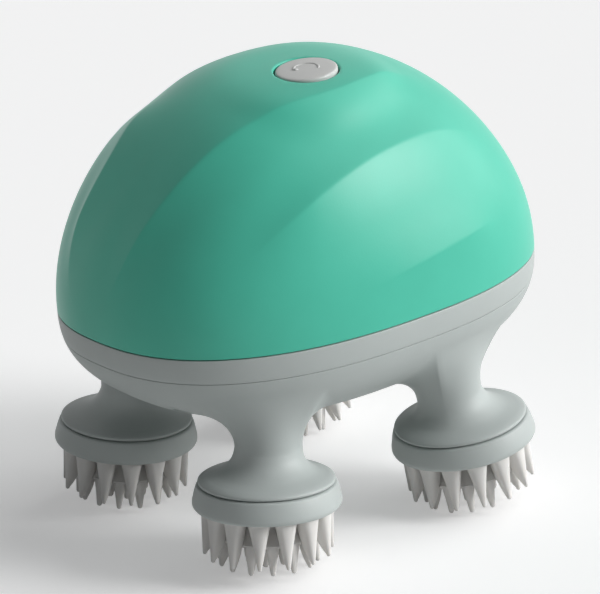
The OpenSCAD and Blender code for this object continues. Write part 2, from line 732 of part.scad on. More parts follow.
module spindle(k) {
  color("silver") in_head_frame(k) difference() {
    union() {
      rotate_extrude() polygon([[0, -3], [spindle_d / 2, -3],
        [spindle_d / 2, clip_h], [spindle_d / 2 - 0.4, clip_h],
        [spindle_d / 2 - 0.4, clip_h + clip_t + 0.1], [spindle_d / 2, clip_h + clip_t + 0.1],
        [spindle_d / 2, ball_h - 3.2], [1.4, ball_h - 2.6], [1.4, ball_h], [0, ball_h]]);
      translate([0, 0, ball_h]) sphere(r = ball_r);
    }
    translate([0, 0, ball_h]) rotate([90, 0, 0]) cylinder(h = 3 * ball_r, r = pin_r + eps, center = true);
  }
}

module cross_pin(k) {
  color("gray") in_head_frame(k) translate([0, 0, ball_h]) rotate([90, 0, 0])
    cylinder(h = pin_l, r = pin_r, center = true);
}

module spindle_bush(k) {
  color("peru") in_head_frame(k) tube(bush_d / 2, spindle_d / 2 + run_gap, bush_low, bush_low + bush_l);
}

module shaft_seal(k) {
  color("black") in_head_frame(k)
    tube(seal_d / 2, spindle_d / 2 + run_gap + 0.03, leg_low + seal_room, leg_low + seal_room + seal_h);
}

module spindle_clip(k) {
  color("gray") in_head_frame(k) difference() {
    tube(spindle_d / 2 + 1.3, spindle_d / 2 - 0.35, clip_h + 0.05, clip_h + 0.05 + clip_t);
    translate([0, -1.1, clip_h - 1]) cube([5, 2.2, 3]);
  }
}

// Turning band of a head, with the boss that takes the spindle
rim_drop = 1.7;
pad_r = lip_r - 1.9;
module head_band(k) {
  color("silver") in_head_frame(k) rotate_extrude() polygon([
    [spindle_d / 2 + 0.02, -3.2], [5, -3.2], [5, 1.2],
    [pad_r + 0.15, 1.2], [pad_r + 0.15, -rim_drop], [lip_r - 1.4, -rim_drop], [lip_r - 0.8, 0.35 - rim_drop],
    [lip_r - 0.25, 1 - rim_drop], [lip_r, 0.1], [flange_r + 0.25, band_h - 0.2], [flange_r, band_h],
    [spindle_d / 2 + 0.02, band_h]]);
}

// Ring of tapered prongs that lean outwards
module prong_ring(count, base_ring, tip_ring, base_r, high, low) {
  lean = atan2(tip_ring - base_ring, high - low);
  for (i = [0:count - 1])
    rotate([0, 0, 360 * i / count]) translate([base_ring, 0, high]) rotate([0, 180 - lean, 0])
      cylinder(h = norm([tip_ring - base_ring, high - low]), r1 = base_r, r2 = tip_r);
}

module prong_pad(k) {
  color("lightsteelblue") in_head_frame(k) {
    rotate_extrude() polygon([[5.2, 1.2], [pad_r, 1.2], [pad_r, -1.3], [9.8, -1.6], [9.8, -5.2], [9.4, -5.6],
      [0, -5.6], [0, -3.5], [5.2, -3.5]]);
    prong_ring(outer_prongs, pad_r - 2.4, pad_r - 0.65, 2.3, -1, -outer_reach);
    prong_ring(inner_prongs, 7.9, inner_tip_ring, 1.45, -5, -inner_reach);
    prong_ring(4, 2.6, 3.1, 1.4, -5, -inner_reach);
  }
}

top_cover();
power_button();
button_seal();
switch_plunger();
switch_body();
control_board();
board_screws();
middle_ring();
body_gasket();
charge_contacts();
lower_housing();
housing_screws();
gearbox_base();
gearbox_cover();
gearbox_screws();
drive_motor();
motor_gearhead();
motor_screws();
drive_shaft();
sun_gear();
output_gear(0);  // output_gear_front_left
output_gear(1);  // output_gear_front_right
output_gear(2);  // output_gear_rear_left
output_gear(3);  // output_gear_rear_right
idler_gear(1);  // idler_gear_front
idler_gear(2);  // idler_gear_rear
idler_pins();
battery_cell();
battery_cradle();
wire_leads();
spindle(0);  // spindle_front_left
spindle(1);  // spindle_front_right
spindle(2);  // spindle_rear_left
spindle(3);  // spindle_rear_right
cross_pin(0);  // cross_pin_front_left
cross_pin(1);  // cross_pin_front_right
cross_pin(2);  // cross_pin_rear_left
cross_pin(3);  // cross_pin_rear_right
spindle_bush(0);  // spindle_bush_front_left
spindle_bush(1);  // spindle_bush_front_right
spindle_bush(2);  // spindle_bush_rear_left
spindle_bush(3);  // spindle_bush_rear_right
shaft_seal(0);  // shaft_seal_front_left
shaft_seal(1);  // shaft_seal_front_right
shaft_seal(2);  // shaft_seal_rear_left
shaft_seal(3);  // shaft_seal_rear_right
spindle_clip(0);  // spindle_clip_front_left
spindle_clip(1);  // spindle_clip_front_right
spindle_clip(2);  // spindle_clip_rear_left
spindle_clip(3);  // spindle_clip_rear_right
head_band(0);  // head_band_front_left
head_band(1);  // head_band_front_right
head_band(2);  // head_band_rear_left
head_band(3);  // head_band_rear_right
prong_pad(0);  // prong_pad_front_left
prong_pad(1);  // prong_pad_front_right
prong_pad(2);  // prong_pad_rear_left
prong_pad(3);  // prong_pad_rear_right
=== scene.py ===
# %% [markdown]
# # A cordless scalp massager
# The real object has a pleated green cover that fills the palm, a grey bowl on four leaning legs,
# and four heads whose silicone claws turn under the legs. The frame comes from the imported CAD
# model: its nodes stand where they belong and its joints move them. This lesson builds finer skins
# over the outside and gives every piece its finish.

# %% Start from the frame
import json
import math
import bmesh
import bpy
import numpy as np
from mathutils import Matrix, Vector

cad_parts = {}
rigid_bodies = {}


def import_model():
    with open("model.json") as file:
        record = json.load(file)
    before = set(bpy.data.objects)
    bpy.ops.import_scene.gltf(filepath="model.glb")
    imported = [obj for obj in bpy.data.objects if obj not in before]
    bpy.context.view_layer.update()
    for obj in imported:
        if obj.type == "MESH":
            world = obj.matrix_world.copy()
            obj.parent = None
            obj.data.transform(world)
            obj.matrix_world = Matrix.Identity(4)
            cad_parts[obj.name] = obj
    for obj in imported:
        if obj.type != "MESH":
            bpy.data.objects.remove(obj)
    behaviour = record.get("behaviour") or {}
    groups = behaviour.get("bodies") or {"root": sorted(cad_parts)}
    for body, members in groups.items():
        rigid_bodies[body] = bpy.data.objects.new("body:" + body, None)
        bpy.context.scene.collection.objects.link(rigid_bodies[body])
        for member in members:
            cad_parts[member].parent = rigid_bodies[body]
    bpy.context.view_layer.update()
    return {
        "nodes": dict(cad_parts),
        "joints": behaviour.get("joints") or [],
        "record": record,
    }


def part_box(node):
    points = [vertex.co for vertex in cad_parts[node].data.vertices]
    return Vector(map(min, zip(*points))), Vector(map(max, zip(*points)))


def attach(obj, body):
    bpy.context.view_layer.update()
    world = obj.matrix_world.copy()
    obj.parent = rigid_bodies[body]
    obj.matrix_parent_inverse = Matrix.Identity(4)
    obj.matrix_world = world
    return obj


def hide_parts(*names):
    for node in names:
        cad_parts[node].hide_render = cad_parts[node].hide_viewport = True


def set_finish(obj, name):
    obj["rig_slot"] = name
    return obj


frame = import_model()

# %% [markdown]
# ## Sizes
# All shapes below are worked out in millimetres, because moulded parts are drawn in millimetres,
# and scaled to metres when a mesh is made. The body's length, width and the levels of its two
# seams are read from the frame.

# %% Sizes of the body
MM = 0.001
ring_low, ring_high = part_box("middle_ring")
HALF_L = ring_high.x / MM
HALF_W = -ring_low.y / MM
SEAM = ring_high.z / MM  # level between cover and ring
PARTING = ring_low.z / MM  # level between ring and bowl
CROWN_H = 50.2  # crown over the seam
BOWL_D = 24.4  # seam over the bowl's lowest point
WALL = 2.2
SEAM_GAP = 0.12
PARTING_GAP = 0.05
EDGE, PARTING_EDGE = 0.14, 0.08  # rounds of the edges at the seam and at the parting line
print(f"half length {HALF_L:.2f}, half width {HALF_W:.2f}")
print(f"seam at {SEAM:.2f}, parting line at {PARTING:.2f}")

# %% [markdown]
# ## From points to a mesh
# Every skin here is a grid of points: rows run one way over the surface and columns the other. One
# helper turns a grid into faces and can leave holes in it. A hole is cut where a signed number,
# given for each point, changes sign: faces that the line crosses are trimmed at it, so the edge of
# the hole is clean and not stepped.

# %% Grid helper
def new_point(bm, xyz):
    """A point of a mesh, from millimetres."""
    return bm.verts.new(Vector(xyz) * MM)


def grid_faces(bm, grid, keep=None, wrap_rows=False):
    """Faces over a grid of points (rows, columns, xyz). Columns close on themselves; points with
    keep <= 0 are left out, and the faces around them are trimmed to the line where keep is zero."""
    rows, cols = grid.shape[:2]
    keep = np.ones((rows, cols)) if keep is None else keep
    verts, cuts = {}, {}

    def corner(i, j):
        if (i, j) not in verts:
            verts[i, j] = new_point(bm, grid[i, j])
        return verts[i, j]

    def crossing(a, b):
        key = (a, b) if a < b else (b, a)
        if key not in cuts:
            share = keep[key[0]] / (keep[key[0]] - keep[key[1]])
            cuts[key] = new_point(bm, grid[key[0]] * (1 - share) + grid[key[1]] * share)
        return cuts[key]

    for i in range(rows if wrap_rows else rows - 1):
        for j in range(cols):
            down, right = (i + 1) % rows, (j + 1) % cols
            square = [(i, j), (i, right), (down, right), (down, j)]
            outline = []
            for a, b in zip(square, square[1:] + square[:1]):
                if keep[a] > 0:
                    outline.append(corner(*a))
                if (keep[a] > 0) != (keep[b] > 0):
                    outline.append(crossing(a, b))
            if len(outline) > 2:
                bm.faces.new(outline)


# %% [markdown]
# Holes are then lined: a ring of new points is drawn for every step of the lining, each joined to
# the ring before. Where two rings with different numbers of points meet, triangles zip them
# together by their angle round the hole.

# %% Helpers that line a hole
WELD = 0.002  # points that are closer than this become one
SHORT_LOOP = 12
PAST_ALL = 9  # more than any angle in radians


def weld(bm):
    bmesh.ops.remove_doubles(bm, verts=bm.verts, dist=WELD * MM)


def open_loops(bm):
    """The closed chains of points along the open edges of a mesh, without the very short ones."""
    after = {}
    for edge in bm.edges:
        if edge.is_boundary:
            for v, other in (edge.verts, reversed(edge.verts)):
                after.setdefault(v, []).append(other)
    loops, seen = [], set()
    for start in after:
        if start in seen:
            continue
        loop, v = [], start
        while v not in seen:
            seen.add(v)
            loop.append(v)
            v = next((w for w in after[v] if w not in seen), start)
        loops.append(loop)
    return [loop for loop in loops if len(loop) > SHORT_LOOP]


def join_rings(bm, first, second):
    """Quads between two rings with the same number of points."""
    for n in range(len(first)):
        m = (n + 1) % len(first)
        bm.faces.new((first[n], first[m], second[m], second[n]))


def add_ring(bm, ring, points):
    """A new ring of points, joined to the last one. Returns the new ring."""
    new = [new_point(bm, p) for p in points]
    join_rings(bm, ring, new)
    return new


def loft(bm, rings):
    """A closed shape through rings of points."""
    rings = [[new_point(bm, p) for p in ring] for ring in rings]
    for a, b in zip(rings, rings[1:]):
        join_rings(bm, a, b)
    bm.faces.new(rings[0])
    bm.faces.new(rings[-1])


def zip_rings(bm, first, second, angle):
    """Triangles between two rings, each put in order by the angle of its points."""
    a = sorted(first, key=angle)
    b = sorted(second, key=angle)
    i = j = 0
    while i < len(a) or j < len(b):
        next_a = angle(a[i + 1]) if i + 1 < len(a) else PAST_ALL + (i + 1 > len(a))
        next_b = angle(b[j + 1]) if j + 1 < len(b) else PAST_ALL + (j + 1 > len(b))
        if j >= len(b) or (i < len(a) and next_a <= next_b):
            bm.faces.new((a[i % len(a)], a[(i + 1) % len(a)], b[j % len(b)]))
            i += 1
        else:
            bm.faces.new((a[i % len(a)], b[(j + 1) % len(b)], b[j % len(b)]))
            j += 1


# %% [markdown]
# A finished piece is welded, its normals point outwards, it is smooth except at real edges, and it
# rides on a body of the frame. The print says how many faces it has, and at how many of its edges
# other than two faces meet.

# %% Finish a piece
SHARP = 38  # degrees from which an edge is shaded as an edge
SLIVER = 0.001


def new_object(name, data):
    made = bpy.data.objects.new(name, data)
    bpy.context.scene.collection.objects.link(made)
    return made


def mesh_of(bm, name):
    mesh = bpy.data.meshes.new(name)
    bm.to_mesh(mesh)
    bm.free()
    return mesh


def finish_piece(name, bm, body, slot, replaced=(), sharp=SHARP):
    weld(bm)
    bmesh.ops.dissolve_degenerate(bm, edges=bm.edges, dist=SLIVER * MM)
    bmesh.ops.recalc_face_normals(bm, faces=bm.faces)
    odd_edges = sum(not e.is_manifold for e in bm.edges)
    mesh = mesh_of(bm, name)
    piece = new_object(name, mesh)
    mesh.shade_smooth()
    mesh.set_sharp_from_angle(angle=math.radians(sharp))
    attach(piece, body)
    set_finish(piece, slot)
    if replaced:
        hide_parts(*replaced)
    print(f"{name}: {len(mesh.polygons)} faces, {odd_edges} edges without exactly two of them")
    return piece


def ramp(low, high, value):
    """Rises smoothly from 0 to 1 between two values."""
    t = np.clip((value - low) / (high - low), 0, 1)
    return t * t * (3 - 2 * t)


def signed_power(value, power):
    return np.sign(value) * np.abs(value) ** power


# %% [markdown]
# ## The pleated cover
# The real cover is injection moulded ABS with a soft satin skin. Its plan is a superellipse, a
# shape between an oval and a rounded rectangle, and three low ridges run along each side where its
# pleats meet, like the folds of a shell. A sculpted mesh would drift from the CAD solid, so the
# same formula is sampled again here, with far more points and with columns that follow the ridges,
# because a ridge between two columns would look soft and wavy.

# %% Where the ridges run
PLEAT_D = 1.6  # height of a full ridge
RIDGE_SOFT = 0.4  # degrees over which a ridge's top is rounded
# From the crown down: height as a share of PLEAT_D, degrees in which the flanks above and below
# run out, and the shares of the half length where a ridge rises, ends near and ends far
RIDGES = ((0.9, 18, 13, (-0.99, -0.85), (0.16, 0.46), (-0.62, -0.4)),
          (0.8, 11, 20, (-0.7, -0.35), (0.25, 0.6), (0.25, 0.6)),
          (0.4, 14, 12, (-0.3, 0.05), (0.3, 0.5), (0.3, 0.5)))
# A slight hollow at the far front: depth, then middle and width along the body and round it
HOLLOW_DEPTH, HOLLOW_ALONG, HOLLOW_ROUND = 0.5, (-0.38, 0.12), (26, 9)
SEAM_FADE = (80, 90)  # degrees between which the ridges sink into the plain edge


def ridge_lines(u, side):
    """Angles of the crown, the three ridges and the seam at a share u of the half length; side 1
    is the far side, side -1 the near one. The numbers are fitted to the real ridges."""
    if side > 0:
        first = 17.8 + 7 * ramp(-0.5, -0.1, u) + 729 * max(0, -u - 0.6) ** 3
    else:
        first = 21.2 + 3.8 * math.exp(-((u + 0.06) / 0.3) ** 2)
    second = max(first + 6, min(62, 43.3 - 10 * u + 16 * u * u))
    third = max(second + 5, min(77, 74.3 - 10.7 * u))
    return [0, first, second, third, 90]


def ridge(distance, above, below):
    """Height of a ridge at an angular distance from its line: its flanks are hollow."""
    soft = np.sqrt(distance ** 2 + RIDGE_SOFT ** 2) - RIDGE_SOFT
    return np.maximum(0, 1 - soft / np.where(distance < 0, above, below)) ** 2


def pleat(u, degrees, beside_button):
    """Height of the ridges over the plain cover; the first one fades out beside the button."""
    b = np.abs(degrees)
    far_side = degrees > 0
    lines = zip(ridge_lines(u, -1)[1:4], ridge_lines(u, 1)[1:4], (beside_button, 1, 1))
    total = 0
    for (height, above, below, rise, near_end, far_end), (near, far, fade) in zip(RIDGES, lines):
        end = np.where(far_side, 1 - ramp(*far_end, u), 1 - ramp(*near_end, u))
        flanks = ridge(b - np.where(far_side, far, near), above, below)
        total = total + height * end * ramp(*rise, u) * fade * flanks
    hollow = HOLLOW_DEPTH * np.exp(-((u - HOLLOW_ALONG[0]) / HOLLOW_ALONG[1]) ** 2
                                   - ((degrees - HOLLOW_ROUND[0]) / HOLLOW_ROUND[1]) ** 2)
    return PLEAT_D * (1 - ramp(*SEAM_FADE, b)) * (total - hollow)


# %% [markdown]
# Each cross section is a superellipse too, raised by the ridges. Round the button it is drawn to a
# gently domed seat, so that the button's gap is even all round.

# %% Formula of the cover
PLAN_N, SECTION_N, CROWN_A, CROWN_B = 2.4, 2.2, 2.2, 1.7
UNDER_CAD = 0.9994  # keeps this finer sampling 0.03 mm under the top of the coarser CAD cover
BUTTON_X, BUTTON_Y = -1.9, -10.6
BUTTON_Z = SEAM + CROWN_H - 1.15
SEAT_LIFT, SEAT_RISE_X, SEAT_RISE_Y, SEAT_ROUND = 0.1, 0.04, 0.09, 100
SEAT_FADE, PLEAT_FADE = (7.5, 22), (7.6, 18)  # distances from the button
SEAT_RUN_OUT = 9  # degrees past the first ridge in which the seat runs out


def cover_row(u, degrees, inset):
    """Points of one cross section of the cover, moved inwards by inset."""
    a = np.radians(degrees)
    s = abs(u)
    w = (HALF_W - inset) * max(0, 1 - s ** PLAN_N) ** (1 / PLAN_N)
    h = (CROWN_H - inset) * max(0, 1 - s ** CROWN_A) ** (1 / CROWN_B)
    x = (HALF_L - inset) * u
    if w < 1e-6:
        return np.tile([x, 0, SEAM], (len(a), 1))
    sharpness = (np.abs(np.sin(a)) / w) ** SECTION_N + (np.abs(np.cos(a)) / h) ** SECTION_N
    q = sharpness ** (-1 / SECTION_N)
    dx = x - BUTTON_X
    dy = q * np.sin(a) - BUTTON_Y
    far = np.hypot(dx, dy)
    seat = (BUTTON_Z + SEAT_LIFT - SEAM - inset + SEAT_RISE_X * dx + SEAT_RISE_Y * dy
            - far ** 2 / (2 * SEAT_ROUND))
    past = np.maximum(0, -degrees - ridge_lines(u, -1)[1])
    seat_share = (1 - ramp(*SEAT_FADE, far)) * np.exp(-past / SEAT_RUN_OUT)
    r = (q + seat_share * (seat - q * np.cos(a)) * np.cos(a)
         + pleat(u, degrees, ramp(*PLEAT_FADE, far)))
    return np.stack([np.full_like(r, x), r * np.sin(a), SEAM + r * np.cos(a) * UNDER_CAD], 1)


# %% [markdown]
# The columns crowd towards each ridge, where the surface turns quickly. The skin's bottom edge gets
# a small round, as every moulded edge has one: it catches a thin line of light along the seam.

# %% Grid of the cover
COVER_ROWS = 190
SPAN_STEPS = (20, 20, 26, 16)  # columns between crown, ridges and seam
CROWDING = 0.65


def cover_fan(u):
    """Angles of the samples across one section, from the far seam over the crown to the near."""
    sides = []
    for side in (1, -1):
        line, half = ridge_lines(u, side), []
        for n, steps in enumerate(SPAN_STEPS):
            t = np.arange(1, steps + 1) / steps
            crowded = (1 - CROWDING) * t + CROWDING * (0.5 - 0.5 * np.cos(np.pi * t))
            half.extend(side * (line[n] + (line[n + 1] - line[n]) * crowded))
        sides.append(np.array(half))
    return np.concatenate([sides[0][::-1], [0], sides[1]])


def cover_section(u):
    """One closed section: over the outside, round the rim, and back along the inside."""
    fan = cover_fan(u)
    low = SEAM + SEAM_GAP
    outer = cover_row(u, fan, 0)
    outer[:, 2] = np.maximum(outer[:, 2], low + EDGE)
    inner = cover_row(u, fan[::-1], WALL)
    inner[:, 2] = np.maximum(inner[:, 2], low)
    rim = []
    for inset, z in ((0.3 * EDGE, low + 0.3 * EDGE), (EDGE, low)):
        both_sides = cover_row(u, np.array([90.0, -90.0]), inset)
        both_sides[:, 2] = z
        rim.append(both_sides)
    first = [rim[1][0], rim[0][0]]
    last = [rim[0][1], rim[1][1]]
    return np.vstack([first, outer, last, inner])


cover_grid = np.array([cover_section(math.sin(math.pi * (i / COVER_ROWS - 0.5)))
                       for i in range(COVER_ROWS + 1)])
print("cover grid", cover_grid.shape)

# %% [markdown]
# ## The hole for the button
# The button sits in a round hole whose edge is softly rounded. The hole is cut along a circle round
# the axis of the button, which leans a little to the front and to the user. The print compares this
# axis with the one of the joint.

# %% Cut and line the hole
BUTTON_AT = Vector((BUTTON_X, BUTTON_Y, BUTTON_Z))
TILT, LEAN = math.radians(2.4), math.radians(-4.4)
BUTTON_FRAME = (Matrix.Translation(BUTTON_AT) @ Matrix.Rotation(LEAN, 4, "Y")
                @ Matrix.Rotation(TILT, 4, "X"))
BUTTON_R = 6.7
HOLE_R = BUTTON_R + 0.3
HOLE_EDGE, HOLE_STEPS = 0.45, (22, 45, 68, 90)  # round of the hole's edge, and its steps
CROWN_ONLY = 10  # the hole goes no deeper than this below the button


def joint_named(name):
    return next(j for j in frame["joints"] if j["name"] == name)


def in_button_frame(points):
    turn = np.array(BUTTON_FRAME.to_3x3())
    return (np.asarray(points) - np.array(BUTTON_AT)) @ turn


def round_button(v):
    p = in_button_frame(np.array(v.co) / MM)
    return math.atan2(p[1], p[0])


pressed_along = Vector(joint_named("button_press")["axis"]).normalized()
print("axis error", (BUTTON_FRAME.to_3x3() @ Vector((0, 0, 1)) + pressed_along).length)
local = in_button_frame(cover_grid)
from_axis = np.hypot(local[..., 0], local[..., 1]) - HOLE_R - HOLE_EDGE
from_axis[local[..., 2] < -CROWN_ONLY] = 1
bm = bmesh.new()
grid_faces(bm, cover_grid, from_axis)
weld(bm)
loops = open_loops(bm)
print("open loops of the cover", [len(loop) for loop in loops])
loops.sort(key=lambda loop: -sum(v.co.z for v in loop) / len(loop))
outer_loop, inner_loop = loops[:2]
ring = sorted(outer_loop, key=round_button)
start = in_button_frame(np.array([v.co for v in ring]) / MM)
for step in np.radians(HOLE_STEPS):
    c, s = math.cos(step), math.sin(step)
    radius = HOLE_R + HOLE_EDGE * (1 - s)
    points = [(radius * math.cos(t), radius * math.sin(t), h - HOLE_EDGE * (1 - c))
              for t, h in ((math.atan2(p[1], p[0]), p[2]) for p in start)]
    ring = add_ring(bm, ring, [BUTTON_FRAME @ Vector(p) for p in points])
zip_rings(bm, ring, inner_loop, round_button)
finish_piece("pleated_cover", bm, "housing", "cover_green", ["top_cover"])

# %% [markdown]
# ## Round pieces
# Bands, pads and the button are turned shapes: an outline of radius and height, spun round an axis.
# A turned shape is made upright and then placed, because the button and the heads lean.

# %% Helpers that spin an outline
def spin_outline(bm, outline, segments=128, close=True):
    """Faces of an outline of (radius, height) spun round +Z, closed at the axis or on itself."""
    turns = np.linspace(0, 2 * np.pi, segments, endpoint=False)
    rows = [np.stack([r * np.cos(turns), r * np.sin(turns), np.full(segments, h)], 1)
            for r, h in outline]
    grid_faces(bm, np.array(rows), wrap_rows=close)


def rounded(outline, steps=4):
    """An outline with rounded corners: a corner is (radius, height) or (radius, height, round)."""
    result = []
    for n, corner in enumerate(outline):
        here = np.array(corner[:2], float)
        if len(corner) < 3:
            result.append(tuple(here))
            continue
        before = np.array(outline[n - 1][:2], float)
        after = np.array(outline[(n + 1) % len(outline)][:2], float)
        a = here + (before - here) / np.linalg.norm(before - here) * corner[2]
        b = here + (after - here) / np.linalg.norm(after - here) * corner[2]
        for t in np.linspace(0, 1, steps + 1):
            result.append(tuple((1 - t) ** 2 * a + 2 * t * (1 - t) * here + t * t * b))
    return result


def place(bm, matrix):
    """Moves all points of a mesh from a local frame, in mm, to the frame of the part."""
    moved = matrix.copy()
    moved.translation = matrix.translation * MM
    bmesh.ops.transform(bm, matrix=moved, verts=bm.verts)


# %% [markdown]
# ## The button
# A round cap, moulded in a lighter grey with a fine matt skin. Its top is very slightly domed and
# its edge rounded, so that a finger finds it. A raised open ring with a dot at one end shows where
# to press. Both are swept half-rounds, because a flat-sided mark would look printed, not moulded.

# %% Button cap with its mark
CAP = [(0, 0.25), (1.5, 0.245), (3.35, 0.2), (5.2, 0.11), (BUTTON_R, 0.02, 0.55),
       (BUTTON_R, -6.1), (8.9, -6.1, 0.2), (8.9, -7.1, 0.2), (2.2, -7.1), (2.2, -8.3, 0.2),
       (0, -8.3)]
CAP_TOP = 0.21
MARK_R, MARK_W, MARK_H, MARK_SINK = 2.65, 0.3, 0.16, 0.3
MARK_STEPS, MARK_FROM, MARK_TO = 72, -20, 205
MARK_TURN = math.radians(-38)
MARK_END, MARK_TAPER = 0.25, 0.4  # size of the line at its end, and its growth at each step
DOT_STEPS, DOT_AT, DOT_HALF, DOT_SHIFT, DOT_SIZE = 9, 200, 0.55, 0.4, 1.9
HALF_ROUND = 7  # steps over the line of the mark


def mark_ring(centre, direction, size):
    """Points round the line of the mark: a low half-round that sinks into the cap."""
    side = Vector((-direction[1], direction[0], 0))
    points = []
    for n in range(HALF_ROUND + 1):
        t = math.pi * n / HALF_ROUND
        up = Vector((0, 0, size * MARK_H * math.sin(t)))
        points.append(Vector(centre) + side * (size * MARK_W * math.cos(t)) + up)
    sink = Vector((0, 0, MARK_SINK))
    return points + [points[-1] - sink, points[0] - sink]


bm = bmesh.new()
spin_outline(bm, rounded(CAP), close=False)
steps = np.arange(MARK_STEPS)
from_end = np.minimum(steps, MARK_STEPS - 1 - steps)
angles = np.radians(np.linspace(MARK_FROM, MARK_TO, MARK_STEPS)) + MARK_TURN
loft(bm, [mark_ring((MARK_R * math.cos(t), MARK_R * math.sin(t), CAP_TOP),
                    (-math.sin(t), math.cos(t)), size)
          for t, size in zip(angles, np.minimum(1, MARK_END + MARK_TAPER * from_end))])
dot_x, dot_y = (f(MARK_TURN + math.radians(DOT_AT)) for f in (math.cos, math.sin))
loft(bm, [mark_ring(((MARK_R + DOT_HALF * d) * dot_x + DOT_SHIFT,
                     (MARK_R + DOT_HALF * d) * dot_y, CAP_TOP),
                    (dot_x, dot_y), DOT_SIZE * math.sqrt(max(0.02, 1 - d ** 2)))
          for d in np.linspace(-1, 1, DOT_STEPS)])
place(bm, BUTTON_FRAME)
finish_piece("button_cap", bm, "button", "button_grey", ["power_button"])

# %% [markdown]
# ## The grey ring
# Under the seam sits a separate moulded ring. It continues the bowl's outline, so its outside is
# sampled from the same formula as the bowl. Two charging contacts lie in a small flat on it, cut
# with a Boolean modifier: a rounded block is taken away, which is how one would mill it.

# %% Formula of the bowl and the ring
BOWL_M, BOWL_K = 2.53, 2.15
QUARTER = np.radians((0, 30, 60, 90))
RING_SEGMENTS = 256


def oval(a, b, turns):
    return a * signed_power(np.cos(turns), 2 / PLAN_N), b * signed_power(np.sin(turns), 2 / PLAN_N)


def drawn_in(depth_share):
    """How far the bowl has drawn in at a share of its depth."""
    return max(0, 1 - min(max(depth_share, 0), 1) ** BOWL_M) ** (1 / BOWL_K)


def bowl_section(z, inset, segments, extra=0):
    """Outline of the bowl at a height, moved inwards by inset and a further rounding."""
    k = drawn_in((SEAM - z) / (BOWL_D - inset))
    turns = np.linspace(0, 2 * np.pi, segments, endpoint=False)
    x, y = oval((HALF_L - inset) * k - extra, (HALF_W - inset) * k - extra, turns)
    return np.stack([x, y, np.full(segments, z)], 1)


def round_rim(top, edge, segments):
    """Rows over a rounded top edge, from the flat top to the outside face."""
    return [bowl_section(top - edge * (1 - math.cos(t)), 0, segments, edge * (1 - math.sin(t)))
            for t in QUARTER]


# %% Ring
top, bottom = SEAM - SEAM_GAP, PARTING + PARTING_GAP
rows = round_rim(top, EDGE, RING_SEGMENTS)
rows += [bowl_section(z, 0, RING_SEGMENTS)
         for z in np.linspace(top - EDGE, bottom + PARTING_EDGE, 8)[1:-1]]
rows += [bowl_section(bottom + PARTING_EDGE * (1 - math.sin(t)), 0, RING_SEGMENTS,
                      PARTING_EDGE * (1 - math.cos(t))) for t in QUARTER]
rows += [bowl_section(z, WALL, RING_SEGMENTS) for z in (bottom, top)]
bm = bmesh.new()
grid_faces(bm, np.array(rows), wrap_rows=True)
ring_piece = finish_piece("seam_ring", bm, "housing", "shell_grey", ["middle_ring"])

# %% [markdown]
# The flat has rounded corners, as a milling cutter leaves them. Its middle is read from the
# contacts' node, and it lies 0.06 mm behind their faces, so that they show.

# %% Flat for the charging contacts
FLAT_L, FLAT_W, FLAT_ROUND, FLAT_DEPTH, FLAT_CUT = 14, 4, 0.8, 0.76, 4


def combine(piece, other_bm, operation, name):
    """Adds a closed shape to a piece or takes it away, with an exact Boolean, then applied."""
    bmesh.ops.recalc_face_normals(other_bm, faces=other_bm.faces)
    other = new_object(name, mesh_of(other_bm, name))
    modifier = piece.modifiers.new(name, "BOOLEAN")
    modifier.operation, modifier.solver, modifier.object = operation, "EXACT", other
    bpy.context.view_layer.update()
    evaluated = piece.evaluated_get(bpy.context.evaluated_depsgraph_get())
    result = bpy.data.meshes.new_from_object(evaluated)
    piece.modifiers.clear()
    piece.data = result
    bpy.data.objects.remove(other)
    result.set_sharp_from_angle(angle=math.radians(SHARP))
    print(f"{piece.name}: {len(result.polygons)} faces after {name}")


contact_low, contact_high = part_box("charge_contacts")
flat_centre = (contact_low + contact_high) / 2 / MM
flat_centre.y = HALF_W - FLAT_DEPTH + FLAT_CUT / 2
bm = bmesh.new()
bmesh.ops.create_cube(bm, size=1)
bmesh.ops.scale(bm, vec=Vector((FLAT_L, FLAT_CUT, FLAT_W)) * MM, verts=bm.verts)
along_y = [e for e in bm.edges if abs((e.verts[0].co - e.verts[1].co).normalized().y) > 0.9]
bmesh.ops.bevel(bm, geom=along_y, offset=FLAT_ROUND * MM, segments=5, affect="EDGES", profile=0.5)
bmesh.ops.translate(bm, vec=flat_centre * MM, verts=bm.verts)
combine(ring_piece, bm, "DIFFERENCE", "charging_flat")

# %% [markdown]
# ## The bowl with its four legs
# Bowl and legs are one moulding on the real object, and each leg flows out of the bowl in a soft
# fillet. A Boolean union would leave a hard line there. So the bowl's outer skin gets four
# openings, and each opening is carried down as a leg: every ring of the fillet starts flat against
# the bowl's skin and ends parallel to the leg's axis, so no line shows where bowl turns into leg.

# %% Skin of the bowl
BOWL_SEGMENTS, OUTER_ROWS, INNER_ROWS = 288, 84, 46
UNDER_RIM = 0.3  # the outer rows end this far under the bowl's rim


def plan_share(x, y, inset=0):
    return ((np.abs(x) / (HALF_L - inset)) ** PLAN_N
            + (np.abs(y) / (HALF_W - inset)) ** PLAN_N) ** (1 / PLAN_N)


def bowl_level(share, inset):
    """Height of the bowl's skin at a share of its plan's size."""
    return SEAM - (BOWL_D - inset) * (1 - share ** BOWL_K) ** (1 / BOWL_M)


def bowl_floor(x, y, inset=0):
    """Height of the bowl's skin over a point of the plan."""
    return bowl_level(np.minimum(plan_share(x, y, inset), 1), inset)


